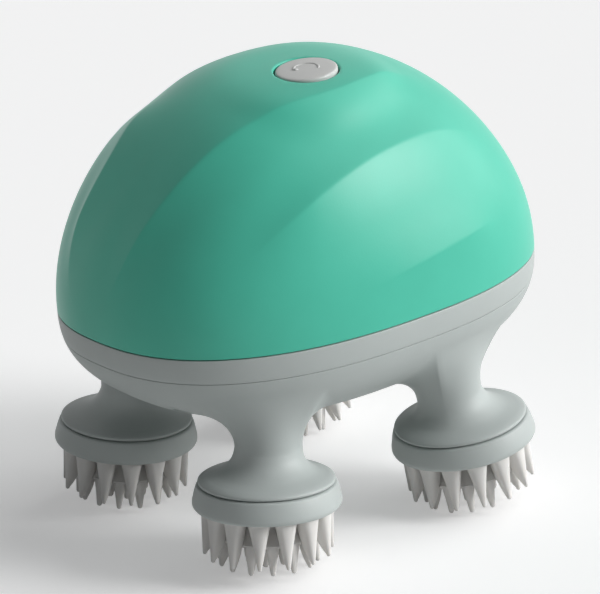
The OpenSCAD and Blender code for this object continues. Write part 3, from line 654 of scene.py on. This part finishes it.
def bowl_rows(inset, top, count):
    """Rows of a skin of the bowl from its lowest point up to a height."""
    turns = np.linspace(0, 2 * np.pi, BOWL_SEGMENTS, endpoint=False)
    widest = drawn_in((SEAM - top) / (BOWL_D - inset))
    rows = []
    for k in widest * np.sin(np.linspace(0, np.pi / 2, count)) ** 0.9:
        x, y = oval((HALF_L - inset) * k, (HALF_W - inset) * k, turns)
        rows.append(np.stack([x, y, np.full(BOWL_SEGMENTS, bowl_level(k, inset))], 1))
    return rows


bowl_top = PARTING - PARTING_GAP
inside_rows = bowl_rows(WALL, bowl_top, INNER_ROWS)
inside_rows += round_rim(bowl_top, PARTING_EDGE, BOWL_SEGMENTS)
outside_rows = bowl_rows(0, bowl_top - UNDER_RIM, OUTER_ROWS)[::-1]
bowl_grid = np.array(inside_rows + outside_rows)
print("bowl grid", bowl_grid.shape, "lowest point", bowl_grid[..., 2].min())

# %% [markdown]
# The heads' frames come from the joints. Each opening in the bowl is a circle round the top of the
# leg's gear shaft, drawn in where it would come too close to the bowl's edge.

# %% Frames of the heads and openings for the legs
HEADS = ("front_left", "front_right", "rear_left", "rear_right")
OPENING_R, NEAR_EDGE = 14.5, 0.955
COUPLING_Z = SEAM - 13.5
CAVITY_R = 4.9
head_frames, shaft_tops, openings = {}, {}, {}
for name in HEADS:
    joint = joint_named(f"head_{name}_spin")
    axis = Vector(joint["axis"])
    origin = Vector(joint["pos_m"]) / MM
    lean = math.acos(axis.z)
    head_frames[name] = (Matrix.Translation(origin)
                         @ Matrix.Rotation(math.atan2(axis.y, axis.x), 4, "Z")
                         @ Matrix.Rotation(lean, 4, "Y"))
    shaft_tops[name] = origin + axis * ((COUPLING_Z - origin.z) / axis.z)
    print(name, "leans", round(math.degrees(lean), 2), "degrees")
first_head = head_frames["front_left"]
BALL_H = (COUPLING_Z - first_head.translation.z) / first_head.to_3x3().col[2].z
opening_turns = np.linspace(-np.pi, np.pi, 721)


def leg_opening(centre):
    """Angle round the shaft and radius of the opening, one pair for each of the opening's turns."""
    x = centre.x + OPENING_R * np.cos(opening_turns)
    y = centre.y + OPENING_R * np.sin(opening_turns)
    shrink = np.minimum(1, NEAR_EDGE / plan_share(x, y))
    x, y = x * shrink - centre.x, y * shrink - centre.y
    return np.unwrap(np.arctan2(y, x)), np.hypot(x, y)


def lookup(angle, table, values):
    """A value of a closed table at an angle."""
    turns_in = (angle - table[0]) % (2 * np.pi) + table[0]
    return np.interp(turns_in, table, values)


keep = np.full(bowl_grid.shape[:2], 50.0)
outer_from = len(inside_rows)
for name in HEADS:
    top = shaft_tops[name]
    angle, radius = openings[name] = leg_opening(top)
    dx, dy = bowl_grid[outer_from:, :, 0] - top.x, bowl_grid[outer_from:, :, 1] - top.y
    off_edge = np.hypot(dx, dy) - lookup(np.arctan2(dy, dx), angle, radius)
    keep[outer_from:] = np.minimum(keep[outer_from:], off_edge)
    axis = np.array(head_frames[name].to_3x3().col[2])
    inside = bowl_grid[:outer_from] - np.array(head_frames[name].translation)
    off_axis = np.linalg.norm(inside - (inside @ axis)[..., None] * axis, axis=-1)
    keep[:outer_from] = np.minimum(keep[:outer_from], off_axis - CAVITY_R)

bowl_bm = bmesh.new()
grid_faces(bowl_bm, bowl_grid, keep)
weld(bowl_bm)
loops = open_loops(bowl_bm)
print("open loops of the bowl", [len(loop) for loop in loops])

# %% [markdown]
# The foot of a leg spreads into a flange that covers the turning band like a shallow bell: a round
# edge, a convex shoulder and a hollow up to the neck. Its outline goes smoothly through a few
# stations. Inside, the leg is bored for its bush, its shaft and the ball coupling on top.

# %% Outline of a leg
NECK = (12, 7.2, 1.4)  # height over the head's origin, radius, and shift towards the body
FOOT = [(4.75, 14.45, 0), (5.0, 14.62, 0), (5.45, 14.45, 0), (5.95, 13.4, 0), (6.35, 12.1, 0),
        (7.05, 10.3, 0.2), (8.3, 8.6, 0.6), (9.9, 7.6, 1.0), NECK]
NECK_RUN = 1.6  # the outline leaves the neck as if it went on this far
FOOT_LOW, BUSH_R, BUSH_TOP, SHAFT_R, CAVITY_H = 4.9, 5.3, 7.6, 4.0, BALL_H - 2.7
BORE = [(FOOT_LOW, BUSH_R, 0), (BUSH_TOP, BUSH_R, 0), (BUSH_TOP, SHAFT_R, 0),
        (CAVITY_H, SHAFT_R, 0), (CAVITY_H, CAVITY_R, 0)]


def through(stations, steps):
    """A smooth line (Catmull-Rom) through stations, with some steps between each pair."""
    points = np.array(stations, float)
    beyond = [points[-1][0] + NECK_RUN, *points[-1][1:]]
    ends = np.vstack([2 * points[0] - points[1], points, beyond])
    line = []
    for n in range(1, len(ends) - 2):
        p0, p1, p2, p3 = ends[n - 1:n + 3]
        for t in np.linspace(0, 1, steps, endpoint=False):
            line.append(0.5 * (2 * p1 + (p2 - p0) * t + (2 * p0 - 5 * p1 + 4 * p2 - p3) * t * t
                               + (3 * p1 - p0 - 3 * p2 + p3) * t ** 3))
    return line + [points[-1]]


foot_line = through(FOOT, 4)[::-1]
print("outline of the foot", len(foot_line), "points")

# %% [markdown]
# The fillet between bowl and neck is a fan of Bezier curves, one for each point of the opening. The
# first handle of a curve lies in the bowl's skin and the last one along the neck.

# %% Legs
FILLET_STEPS = 18
FILLET_IN, FILLET_UP = 0.9, 1.5  # how far a curve's corner lies towards the body, over the neck
BOWL_PULL, NECK_PULL = 0.64, 0.6  # how far the handles reach towards that corner
SLOPE_STEP = 0.01


def bezier(a, b, c, d, t):
    return (1 - t) ** 3 * a + 3 * t * (1 - t) ** 2 * b + 3 * t * t * (1 - t) * c + t ** 3 * d


def bowl_slope(x, y):
    """Rise of the bowl's skin along x and along y."""
    h = SLOPE_STEP
    return np.array([bowl_floor(x + h, y) - bowl_floor(x - h, y),
                     bowl_floor(x, y + h) - bowl_floor(x, y - h)]) / (2 * h)


def fillet_curve(x, y, neck, inward):
    """Start, two handles and end of the curve from a point of the opening to the neck."""
    start = np.array([x, y, float(bowl_floor(x, y))])
    corner = neck + np.array(inward) * FILLET_IN
    corner[2] = max(neck[2] + FILLET_UP, start[2] + bowl_slope(x, y) @ (corner[:2] - start[:2]))
    return start, start + BOWL_PULL * (corner - start), neck + NECK_PULL * (corner - neck), neck


def leg_ring(head, taus, height, radius, shift):
    """A ring of a leg; tau is the angle round the head's axis, zero towards the body."""
    return [head @ Vector((shift + radius * math.cos(t), radius * math.sin(t), height))
            for t in taus]


def off_shaft(loop, top):
    """Distance in the plan between the middle of a loop and the top of a shaft."""
    return (sum((v.co for v in loop), Vector()) / len(loop) / MM - top).xy.length


def round_head(v, back):
    p = back @ (v.co / MM)
    return math.atan2(p.y, p.x)


for name in HEADS:
    head, top = head_frames[name], shaft_tops[name]
    inward = Vector(head.to_3x3().col[2])
    inward.z = 0
    inward.normalize()
    nearest = sorted(loops, key=lambda loop: off_shaft(loop, top))[:2]
    bore_loop, ring = sorted(nearest, key=len)
    places = [(v.co.x / MM, v.co.y / MM) for v in ring]
    taus = [float(lookup(math.atan2(y - top.y, x - top.x), openings[name][0], opening_turns))
            - math.atan2(inward.y, inward.x) for x, y in places]
    necks = [np.array(p) for p in leg_ring(head, taus, *NECK)]
    curves = [fillet_curve(x, y, neck, inward) for (x, y), neck in zip(places, necks)]
    for n in range(1, FILLET_STEPS + 1):
        ring = add_ring(bowl_bm, ring, [bezier(*curve, n / FILLET_STEPS) for curve in curves])
    for station in foot_line[1:] + BORE:
        ring = add_ring(bowl_bm, ring, leg_ring(head, taus, *station))
    back = head.inverted()
    zip_rings(bowl_bm, ring, bore_loop, lambda v: round_head(v, back))

bowl = finish_piece("bowl_with_legs", bowl_bm, "housing", "shell_grey", ["lower_housing"])

# %% [markdown]
# Four deep round pockets under the bowl lead to the screws that hold the cover. They are drilled
# into posts: first the posts are added to the inside with a Boolean union, then the stepped holes
# are cut.

# %% Screw posts and pockets
POST_X, POST_Y, POST_R, POST_TIP = HALF_L - 11.5, 13.5, 3.4, 0.9
POST_LOW = float(bowl_floor(POST_X, POST_Y, WALL / 2)) + POST_TIP
POST_HIGH = SEAM + 0.1
POCKET_R, SCREW_R, POCKET_LOW, POCKET_HIGH = 2.2, 1.2, 20, SEAM + 2
SEAT_Z = float(bowl_floor(POST_X, POST_Y)) + 4
POST = [(0, POST_LOW - POST_TIP), (POST_R, POST_LOW), (POST_R, POST_HIGH), (0, POST_HIGH)]
POCKET = [(0, POCKET_LOW), (POCKET_R, POCKET_LOW), (POCKET_R, SEAT_Z), (SCREW_R, SEAT_Z),
          (SCREW_R, POCKET_HIGH), (0, POCKET_HIGH)]


def at_the_posts(outline):
    """The same turned shape at the four posts, as one mesh."""
    bm = bmesh.new()
    for x, y in [(sx * POST_X, sy * POST_Y) for sx in (-1, 1) for sy in (-1, 1)]:
        first = len(bm.verts)
        spin_outline(bm, outline, segments=40, close=False)
        bm.verts.ensure_lookup_table()
        bmesh.ops.translate(bm, vec=Vector((x, y, 0)) * MM, verts=bm.verts[first:])
    weld(bm)
    return bm


combine(bowl, at_the_posts(POST), "UNION", "posts")
combine(bowl, at_the_posts(POCKET), "DIFFERENCE", "screw_pockets")

# %% [markdown]
# ## The turning bands
# Each head has a conical band that turns under its flange. It is spun from one outline whose rims
# are rounded, and a narrow gap under the flange draws the dark line that tells the eye these are
# two pieces. A low lip on the band's top nearly touches the flange: it keeps hair out of the
# bearing, and stops light from shining through the gap.

# %% Bands
BAND = [(2.02, -3.2), (5, -3.2), (5, 1.2), (14.25, 1.2), (14.25, -0.45), (14.6, -0.55, 0.12),
        (15.5, -0.5, 0.3), (15.97, 0.1, 0.45), (15.9, 1.0), (15.4, 3.0), (15.0, 4.25, 0.3),
        (14.5, 4.5, 0.3), (13.6, 4.5), (13.5, 4.68), (12.9, 4.68), (12.8, 4.5), (2.02, 4.5)]
for name in HEADS:
    bm = bmesh.new()
    spin_outline(bm, rounded(BAND), segments=144)
    place(bm, head_frames[name])
    finish_piece(f"turning_band_{name}", bm, f"head_{name}", "shell_grey", [f"head_band_{name}"])

# %% [markdown]
# ## The claw pads
# The pads are soft silicone, moulded in one: fourteen pointed outer claws whose outer face stands
# nearly upright, fourteen shorter and rounder ones between them on the edge of a plateau, and seven
# in the middle. A claw is a loft: wedge-shaped sections that shrink towards the tip and lean over
# to the outside.

# %% Claws
CLAW_POINTS = 20
ROUND_ACROSS, ROUND_ALONG = 0.75, 0.8  # powers that square the round of a section a little
SHRINK = (2.2, 1.0, 0.95)  # powers with which inner radius, outer radius and width shrink
TIP_STEPS = np.sin(np.radians((30, 55, 75, 88)))


def claw(bm, turn, sections):
    """A loft of rounded sections (height, inner radius, outer radius, half width)."""
    direction = np.array([math.cos(turn), math.sin(turn), 0])
    side = np.array([-direction[1], direction[0], 0])
    round_ = np.linspace(0, 2 * np.pi, CLAW_POINTS, endpoint=False)
    rings = []
    for height, inner, outer, half in sections:
        middle, depth = (inner + outer) / 2, (outer - inner) / 2
        across = signed_power(np.cos(round_), ROUND_ACROSS) * depth
        along = signed_power(np.sin(round_), ROUND_ALONG) * half * (middle + across) / outer
        points = direction[None] * (middle + across)[:, None] + side[None] * along[:, None]
        points[:, 2] = height
        rings.append(points)
    loft(bm, rings)


def claw_sections(top, tip, base, end, tip_round, steps=14):
    """Sections from base (inner radius, outer radius, half width) to end, with a round tip."""
    sections = []
    length = top - tip
    for share in np.concatenate([np.linspace(0, 1, steps), 1 + tip_round / length * TIP_STEPS]):
        grow = min(share, 1)
        inner, outer, half = (a + (b - a) * grow ** p for a, b, p in zip(base, end, SHRINK))
        if share > 1:
            shrink = math.sqrt(max(0, 1 - ((share - 1) * length / tip_round) ** 2))
            middle = (inner + outer) / 2
            inner, outer = middle + (inner - middle) * shrink, middle + (outer - middle) * shrink
            half = half * shrink
        sections.append((top - length * share, inner, outer, half))
    return sections


OUTER_TIP, INNER_TIP = -10.9, -13.0
outer_claw = claw_sections(-0.7, OUTER_TIP + 0.45, (9.4, 14.1, 2.8), (13.1, 14.0, 0.45), 0.45)
inner_claw = claw_sections(-6.2, INNER_TIP + 0.6, (7.9, 11.2, 1.75), (9.9, 11.0, 0.6), 0.6)
middle_claw = claw_sections(-6.2, INNER_TIP + 0.8, (2.6, 5.7, 1.5), (3.7, 5.4, 0.8), 0.8)
print("sections of a claw:", len(outer_claw))

# %% [markdown]
# The pad is a drum with hollow sides under a thin plate. Each ring of claws is joined to it with a
# Boolean union of its own, because claws of two rings cut into each other. All four pads have this
# shape, and each is turned as far as the real one stands turned.

# %% Pads
PAD = [(0, -6.9), (11.0, -6.9, 0.3), (11.3, -6.4, 0.4), (9.4, -4.4, 1.5), (8.7, -2.4, 0.9),
       (9.6, -1.2, 0.5), (14.1, -0.9, 0.2), (14.1, 1.15), (5.25, 1.15), (5.25, -3.45), (0, -3.45)]
CLAW_RINGS = ((14, outer_claw, 0), (14, inner_claw, math.pi / 14), (7, middle_claw, 0))
CLAW_TURNS = {"front_left": -8.3, "front_right": 10.3, "rear_left": 10.6, "rear_right": 0.0}
SHARP_CLAW = 60  # soft rubber shows fewer edges

bm = bmesh.new()
spin_outline(bm, rounded(PAD), segments=112, close=False)
pad = finish_piece("pad_body", bm, "housing", "pad_silicone")
for count, sections, first in CLAW_RINGS:
    claws = bmesh.new()
    for n in range(count):
        claw(claws, first + 2 * math.pi * n / count, sections)
    combine(pad, claws, "UNION", "claws")
pad_shape = pad.data
bpy.data.objects.remove(pad)

for name in HEADS:
    bm = bmesh.new()
    bm.from_mesh(pad_shape)
    place(bm, head_frames[name] @ Matrix.Rotation(math.radians(CLAW_TURNS[name]), 4, "Z"))
    finish_piece(f"claw_pad_{name}", bm, f"head_{name}", "pad_silicone", [f"prong_pad_{name}"],
                 sharp=SHARP_CLAW)

# %% [markdown]
# ## Finishes
# Colours are written as sRGB hex values, as on a colour card, and turned to the linear numbers that
# shaders need. One helper adds a node. Every pattern is drawn in object coordinates, in metres, so
# its scale is one over its real size. The real surfaces here have a grain finer than a pixel of the
# picture, and it is drawn coarser so that it shows.

# %% Colour and node helpers
def to_linear(hex_colour):
    """An sRGB hex colour as the linear numbers that shaders use."""
    channels = [int(hex_colour[i:i + 2], 16) / 255 for i in (1, 3, 5)]
    return [c / 12.92 if c <= 0.04045 else ((c + 0.055) / 1.055) ** 2.4 for c in channels] + [1]


def add_node(tree, kind, links=None, **settings):
    """Adds a node, sets its values, and links its inputs to other nodes' sockets."""
    node = tree.nodes.new(kind)
    for key, value in settings.items():
        if hasattr(node, key):
            setattr(node, key, value)
        else:
            node.inputs[key.replace("_", " ")].default_value = value
    for socket, source in (links or {}).items():
        tree.links.new(source, node.inputs[socket])
    return node


# %% [markdown]
# One function makes every finish, because they are all built alike: a fine pattern sets the gloss
# and the relief, as the texture of a mould or a tool does, and the same or a wider pattern runs the
# colour from a darker to a lighter tone. What is the same all over is set on the shader itself.

# %% How a finish is made
def grain(size_mm, detail=3.0):
    """A pattern of grains that are about size_mm wide."""
    return "ShaderNodeTexNoise", {"Scale": 1 / (size_mm * MM), "Detail": detail, "Roughness": 0.6}


def make_finish(name, fine, colours, gloss, relief_mm, wide=None, **shader_settings):
    finish = bpy.data.materials.new(name)
    finish.use_nodes = True
    tree = finish.node_tree
    tree.nodes.clear()
    where = add_node(tree, "ShaderNodeTexCoord").outputs["Object"]
    skin = add_node(tree, fine[0], {"Vector": where}, **fine[1]).outputs["Fac"]
    cloud = add_node(tree, wide[0], {"Vector": where}, **wide[1]).outputs["Fac"] if wide else skin
    tone = add_node(tree, "ShaderNodeMix", {"Factor": cloud}, data_type="RGBA",
                    A=to_linear(colours[0]), B=to_linear(colours[1]))
    spread = add_node(tree, "ShaderNodeMapRange", {"Value": skin}, To_Min=gloss[0], To_Max=gloss[1])
    links = {"Base Color": tone.outputs["Result"], "Roughness": spread.outputs["Result"]}
    if relief_mm:
        bump = add_node(tree, "ShaderNodeBump", {"Height": skin}, Strength=1.0,
                        Distance=relief_mm * MM)
        links["Normal"] = bump.outputs["Normal"]
    shader = add_node(tree, "ShaderNodeBsdfPrincipled", links, **shader_settings)
    add_node(tree, "ShaderNodeOutputMaterial", {"Surface": shader.outputs["BSDF"]})
    print(f"{name}: {len(tree.nodes)} nodes")
    return finish


FINISHES = {}

# %% [markdown]
# The cover is ABS, injection moulded against a fine spark-eroded steel and coated with a satin
# soft-touch lacquer. To the eye that gives a wide soft highlight with a faint sparkle, and a colour
# that stays deep where the light falls off.

# %% Green ABS with satin lacquer
FINISHES["cover_green"] = make_finish(
    "ABS_satin_lacquer_green", grain(0.42), ("#47bba1", "#4cc2a8"), gloss=(0.33, 0.43),
    relief_mm=0.012, wide=grain(9, detail=2), IOR=1.5, Specular_IOR_Level=0.4)

# %% [markdown]
# The bowl, its ring and the turning bands are ABS too, with the plain matt skin that a spark-eroded
# mould leaves. It scatters light widely, so its edges look soft, and only the necks of the legs
# catch a broad sheen.

# %% Grey ABS, matt from the mould
FINISHES["shell_grey"] = make_finish(
    "ABS_matt_moulded_grey", grain(0.38), ("#aeb5b3", "#b3bab8"), gloss=(0.44, 0.6),
    relief_mm=0.01, wide=grain(7, detail=2), IOR=1.52)

# %% [markdown]
# The button is the same plastic in a lighter, warmer grey, with a finer grain, so that it feels
# smooth to the finger.

# %% Light grey ABS of the button
FINISHES["button_grey"] = make_finish(
    "ABS_fine_matt_light_grey", grain(0.3), ("#c7c8c6", "#cecfcd"), gloss=(0.42, 0.54),
    relief_mm=0.006, IOR=1.52)

# %% [markdown]
# The claws are liquid silicone rubber, pressed in a polished mould and powdered. Silicone lets a
# little light in, so thin tips look lighter than thick bases. Its skin is matt, and its colour
# drifts a little where fingers have touched it.

# %% Silicone of the claws
FINISHES["pad_silicone"] = make_finish(
    "silicone_powdered_warm_grey", grain(0.35), ("#d8d7d4", "#e0dedb"), gloss=(0.46, 0.62),
    relief_mm=0.008, wide=grain(3.5, detail=2), IOR=1.41, Subsurface_Weight=0.12,
    Subsurface_Radius=(1.0, 0.85, 0.7), Subsurface_Scale=0.0012)

# %% [markdown]
# Inside the shell there are metals, rubbers and engineering plastics. They are seen only when the
# body is opened, but each still gets what it is made of. The metals keep the default IOR and take
# their look from roughness and from the marks of the tool, which run round the part. Those are
# drawn one to two millimetres apart, far coarser than real ones, so that they show.

# %% Metals
# Name, darker and lighter tone, range of roughness, and size: the marks are 2 pi times that apart
METALS = {"steel": ("stainless_steel_turned", "#b6b8bb", "#c6c8ca", 0.22, 0.36, 0.16),
          "bronze": ("bronze_sintered_oiled", "#a5763f", "#b98a52", 0.42, 0.6, 0.3),
          "gold_contact": ("gold_plated_brass", "#d9b25c", "#e4c070", 0.16, 0.26, 0.25)}
for slot, (name, dark, light, low, high, size) in METALS.items():
    marks = "ShaderNodeTexWave", {"wave_type": "BANDS", "bands_direction": "Z",
                                  "Scale": 1 / (size * 20 * MM), "Distortion": 1.5, "Detail": 2.0}
    FINISHES[slot] = make_finish(name, marks, (dark, light), (low, high), relief_mm=0.003,
                                 Metallic=1.0)

# %% [markdown]
# The rest is black nitrile rubber for the seals, black glass-filled PBT, ivory acetal for the
# gears, the solder mask of the board, and PVC on the cell and the wires. They differ in colour, in
# gloss and in how coarse their skin is.

# %% Rubber and plastics inside
# Name, darker and lighter tone, range of roughness, size of the grain and depth of the relief
INSIDES = {
    "seal_rubber": ("nitrile_rubber_moulded_black", "#1c1c1e", "#262628", 0.6, 0.78, 0.5, 0.01),
    "dark_plastic": ("PBT_glass_filled_black", "#2a2c2e", "#34373a", 0.4, 0.55, 0.6, 0.012),
    "gear_plastic": ("acetal_moulded_ivory", "#ddd8c8", "#e6e2d4", 0.28, 0.4, 1.2, 0.004),
    "board_green": ("FR4_solder_mask_green", "#0f4d30", "#14603c", 0.25, 0.38, 1.6, 0.006),
    "cell_sleeve": ("PVC_shrink_sleeve_blue", "#1f4f86", "#265a95", 0.22, 0.32, 2.2, 0.006),
    "wire_red": ("PVC_wire_extruded_red", "#a01c18", "#b3231e", 0.3, 0.42, 0.8, 0.004)}
for slot, (name, dark, light, low, high, size, relief_mm) in INSIDES.items():
    FINISHES[slot] = make_finish(name, grain(size), (dark, light), (low, high), relief_mm,
                                 IOR=1.52 if slot == "seal_rubber" else 1.54)

# %% [markdown]
# Each node of the frame takes the finish of its material slot, and so does each piece built above.

# %% Give every piece its finish
wearers = [(frame["nodes"][entry["node"]], entry["material_slot"])
           for entry in frame["record"]["subparts"]]
wearers += [(piece, piece["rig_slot"]) for piece in bpy.data.objects if piece.get("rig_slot")]
for piece, slot in wearers:
    piece.data.materials.clear()
    piece.data.materials.append(FINISHES[slot])
print("finishes", len(FINISHES), "for", len(wearers), "nodes and pieces")

# %% [markdown]
# ## Backdrop and floor
# A weak surrounding light fills the shadows. The white of the backdrop isn't lamp light: it is a
# pale colour that only the camera, reflections and glass see, so it adds no light to the object.

# %% World
BACKDROP, SURROUNDING, FILL = "#f6f6f6", "#f4f7fa", 0.12


def seen_plainly(tree):
    """One for rays from the camera, off a gloss or through glass; zero for all other light."""
    ray = add_node(tree, "ShaderNodeLightPath").outputs
    direct = add_node(tree, "ShaderNodeMath", {0: ray["Is Camera Ray"],
                                               1: ray["Is Transmission Ray"]}, operation="MAXIMUM")
    shown = add_node(tree, "ShaderNodeMath", {0: direct.outputs[0], 1: ray["Is Glossy Ray"]},
                     operation="MAXIMUM")
    return shown.outputs[0]


world = bpy.data.worlds.new("studio")
bpy.context.scene.world = world
world.use_nodes = True
tree = world.node_tree
tree.nodes.clear()
backdrop = add_node(tree, "ShaderNodeBackground", Color=to_linear(BACKDROP), Strength=1)
fill = add_node(tree, "ShaderNodeBackground", Color=to_linear(SURROUNDING), Strength=FILL)
both = add_node(tree, "ShaderNodeMixShader", {0: seen_plainly(tree), 1: fill.outputs[0],
                                              2: backdrop.outputs[0]})
add_node(tree, "ShaderNodeOutputWorld", {"Surface": both.outputs[0]})
print("world", len(tree.nodes), "nodes")

# %% [markdown]
# The floor is plain matt paper under the object. It takes the object's shadow, and shows a little
# white of its own to the same rays, so that it is as pale as the backdrop.

# %% Floor
FLOOR_HALF, FLOOR_DROP = 4, 0.0002  # metres
FLOOR_LIFT = 0.31  # strength of its own white
bm = bmesh.new()
bmesh.ops.create_grid(bm, x_segments=8, y_segments=8, size=FLOOR_HALF)
floor = new_object("studio_floor", mesh_of(bm, "studio_floor"))
floor.location.z = -FLOOR_DROP
paper = make_finish("paper_matt_white", grain(1.2), ("#efefef", "#f1f1f1"), gloss=(0.8, 0.9),
                    relief_mm=0, IOR=1.45, Specular_IOR_Level=0.0)
tree = paper.node_tree
lift = add_node(tree, "ShaderNodeMath", {0: seen_plainly(tree)}, operation="MULTIPLY")
lift.inputs[1].default_value = FLOOR_LIFT
glow = add_node(tree, "ShaderNodeEmission", {"Strength": lift.outputs[0]},
                Color=to_linear("#ffffff"))
shader = next(n for n in tree.nodes if n.type == "BSDF_PRINCIPLED")
both = add_node(tree, "ShaderNodeAddShader", {0: shader.outputs[0], 1: glow.outputs[0]})
out = next(n for n in tree.nodes if n.type == "OUTPUT_MATERIAL")
tree.links.new(both.outputs[0], out.inputs["Surface"])
floor.data.materials.append(paper)
print("floor", len(floor.data.polygons), "faces")

# %% [markdown]
# ## Lamps
# The soft studio light comes from the right: a key lamp in front draws the highlights, a low wide
# one lights the flank and the legs, and a very wide one above softens both. They are suns, whose
# light is even all over the object, at a level at which a colour looks about as it is written.

# %% Lamps
LAMPS = {"key_lamp": ((0.561, -0.730, 0.391), 1.9, 24),  # direction, strength, width in degrees
         "low_lamp": ((0.904, -0.392, 0.174), 1.0, 45),
         "upper_lamp": ((0.655, -0.326, 0.682), 1.15, 65)}
for name, (towards, strength, width) in LAMPS.items():
    light = bpy.data.lights.new(name, "SUN")
    light.energy, light.angle = strength, math.radians(width)
    obj = new_object(name, light)
    obj.location = towards
    obj.rotation_euler = Vector(towards).to_track_quat("Z", "Y").to_euler()
print("lamps", len(LAMPS))

# %% [markdown]
# ## Camera
# The camera looks down at the near front corner from about 0.7 m, through a long lens, because
# nearly parallel lines keep the shape true.

# %% Camera
CAMERA_AT = Vector((-381.506, -507.627, 278.959))
CAMERA_RIGHT = Vector((0.78146, -0.61990, -0.07096))
CAMERA_UP = Vector((0.26767, 0.23033, 0.93557))
camera_data = bpy.data.cameras.new("camera")
camera_data.lens = 184.5
camera_data.sensor_width = 36
camera_data.sensor_fit = "HORIZONTAL"
camera_data.clip_start = 0.01
camera = new_object("camera", camera_data)
axes = Matrix((CAMERA_RIGHT, CAMERA_UP, CAMERA_RIGHT.cross(CAMERA_UP))).transposed()
camera.matrix_world = Matrix.Translation(CAMERA_AT * MM) @ axes.to_4x4()
bpy.context.scene.camera = camera
bpy.context.scene.view_settings.view_transform = "Standard"
print("camera", round(CAMERA_AT.length), "mm from the origin")
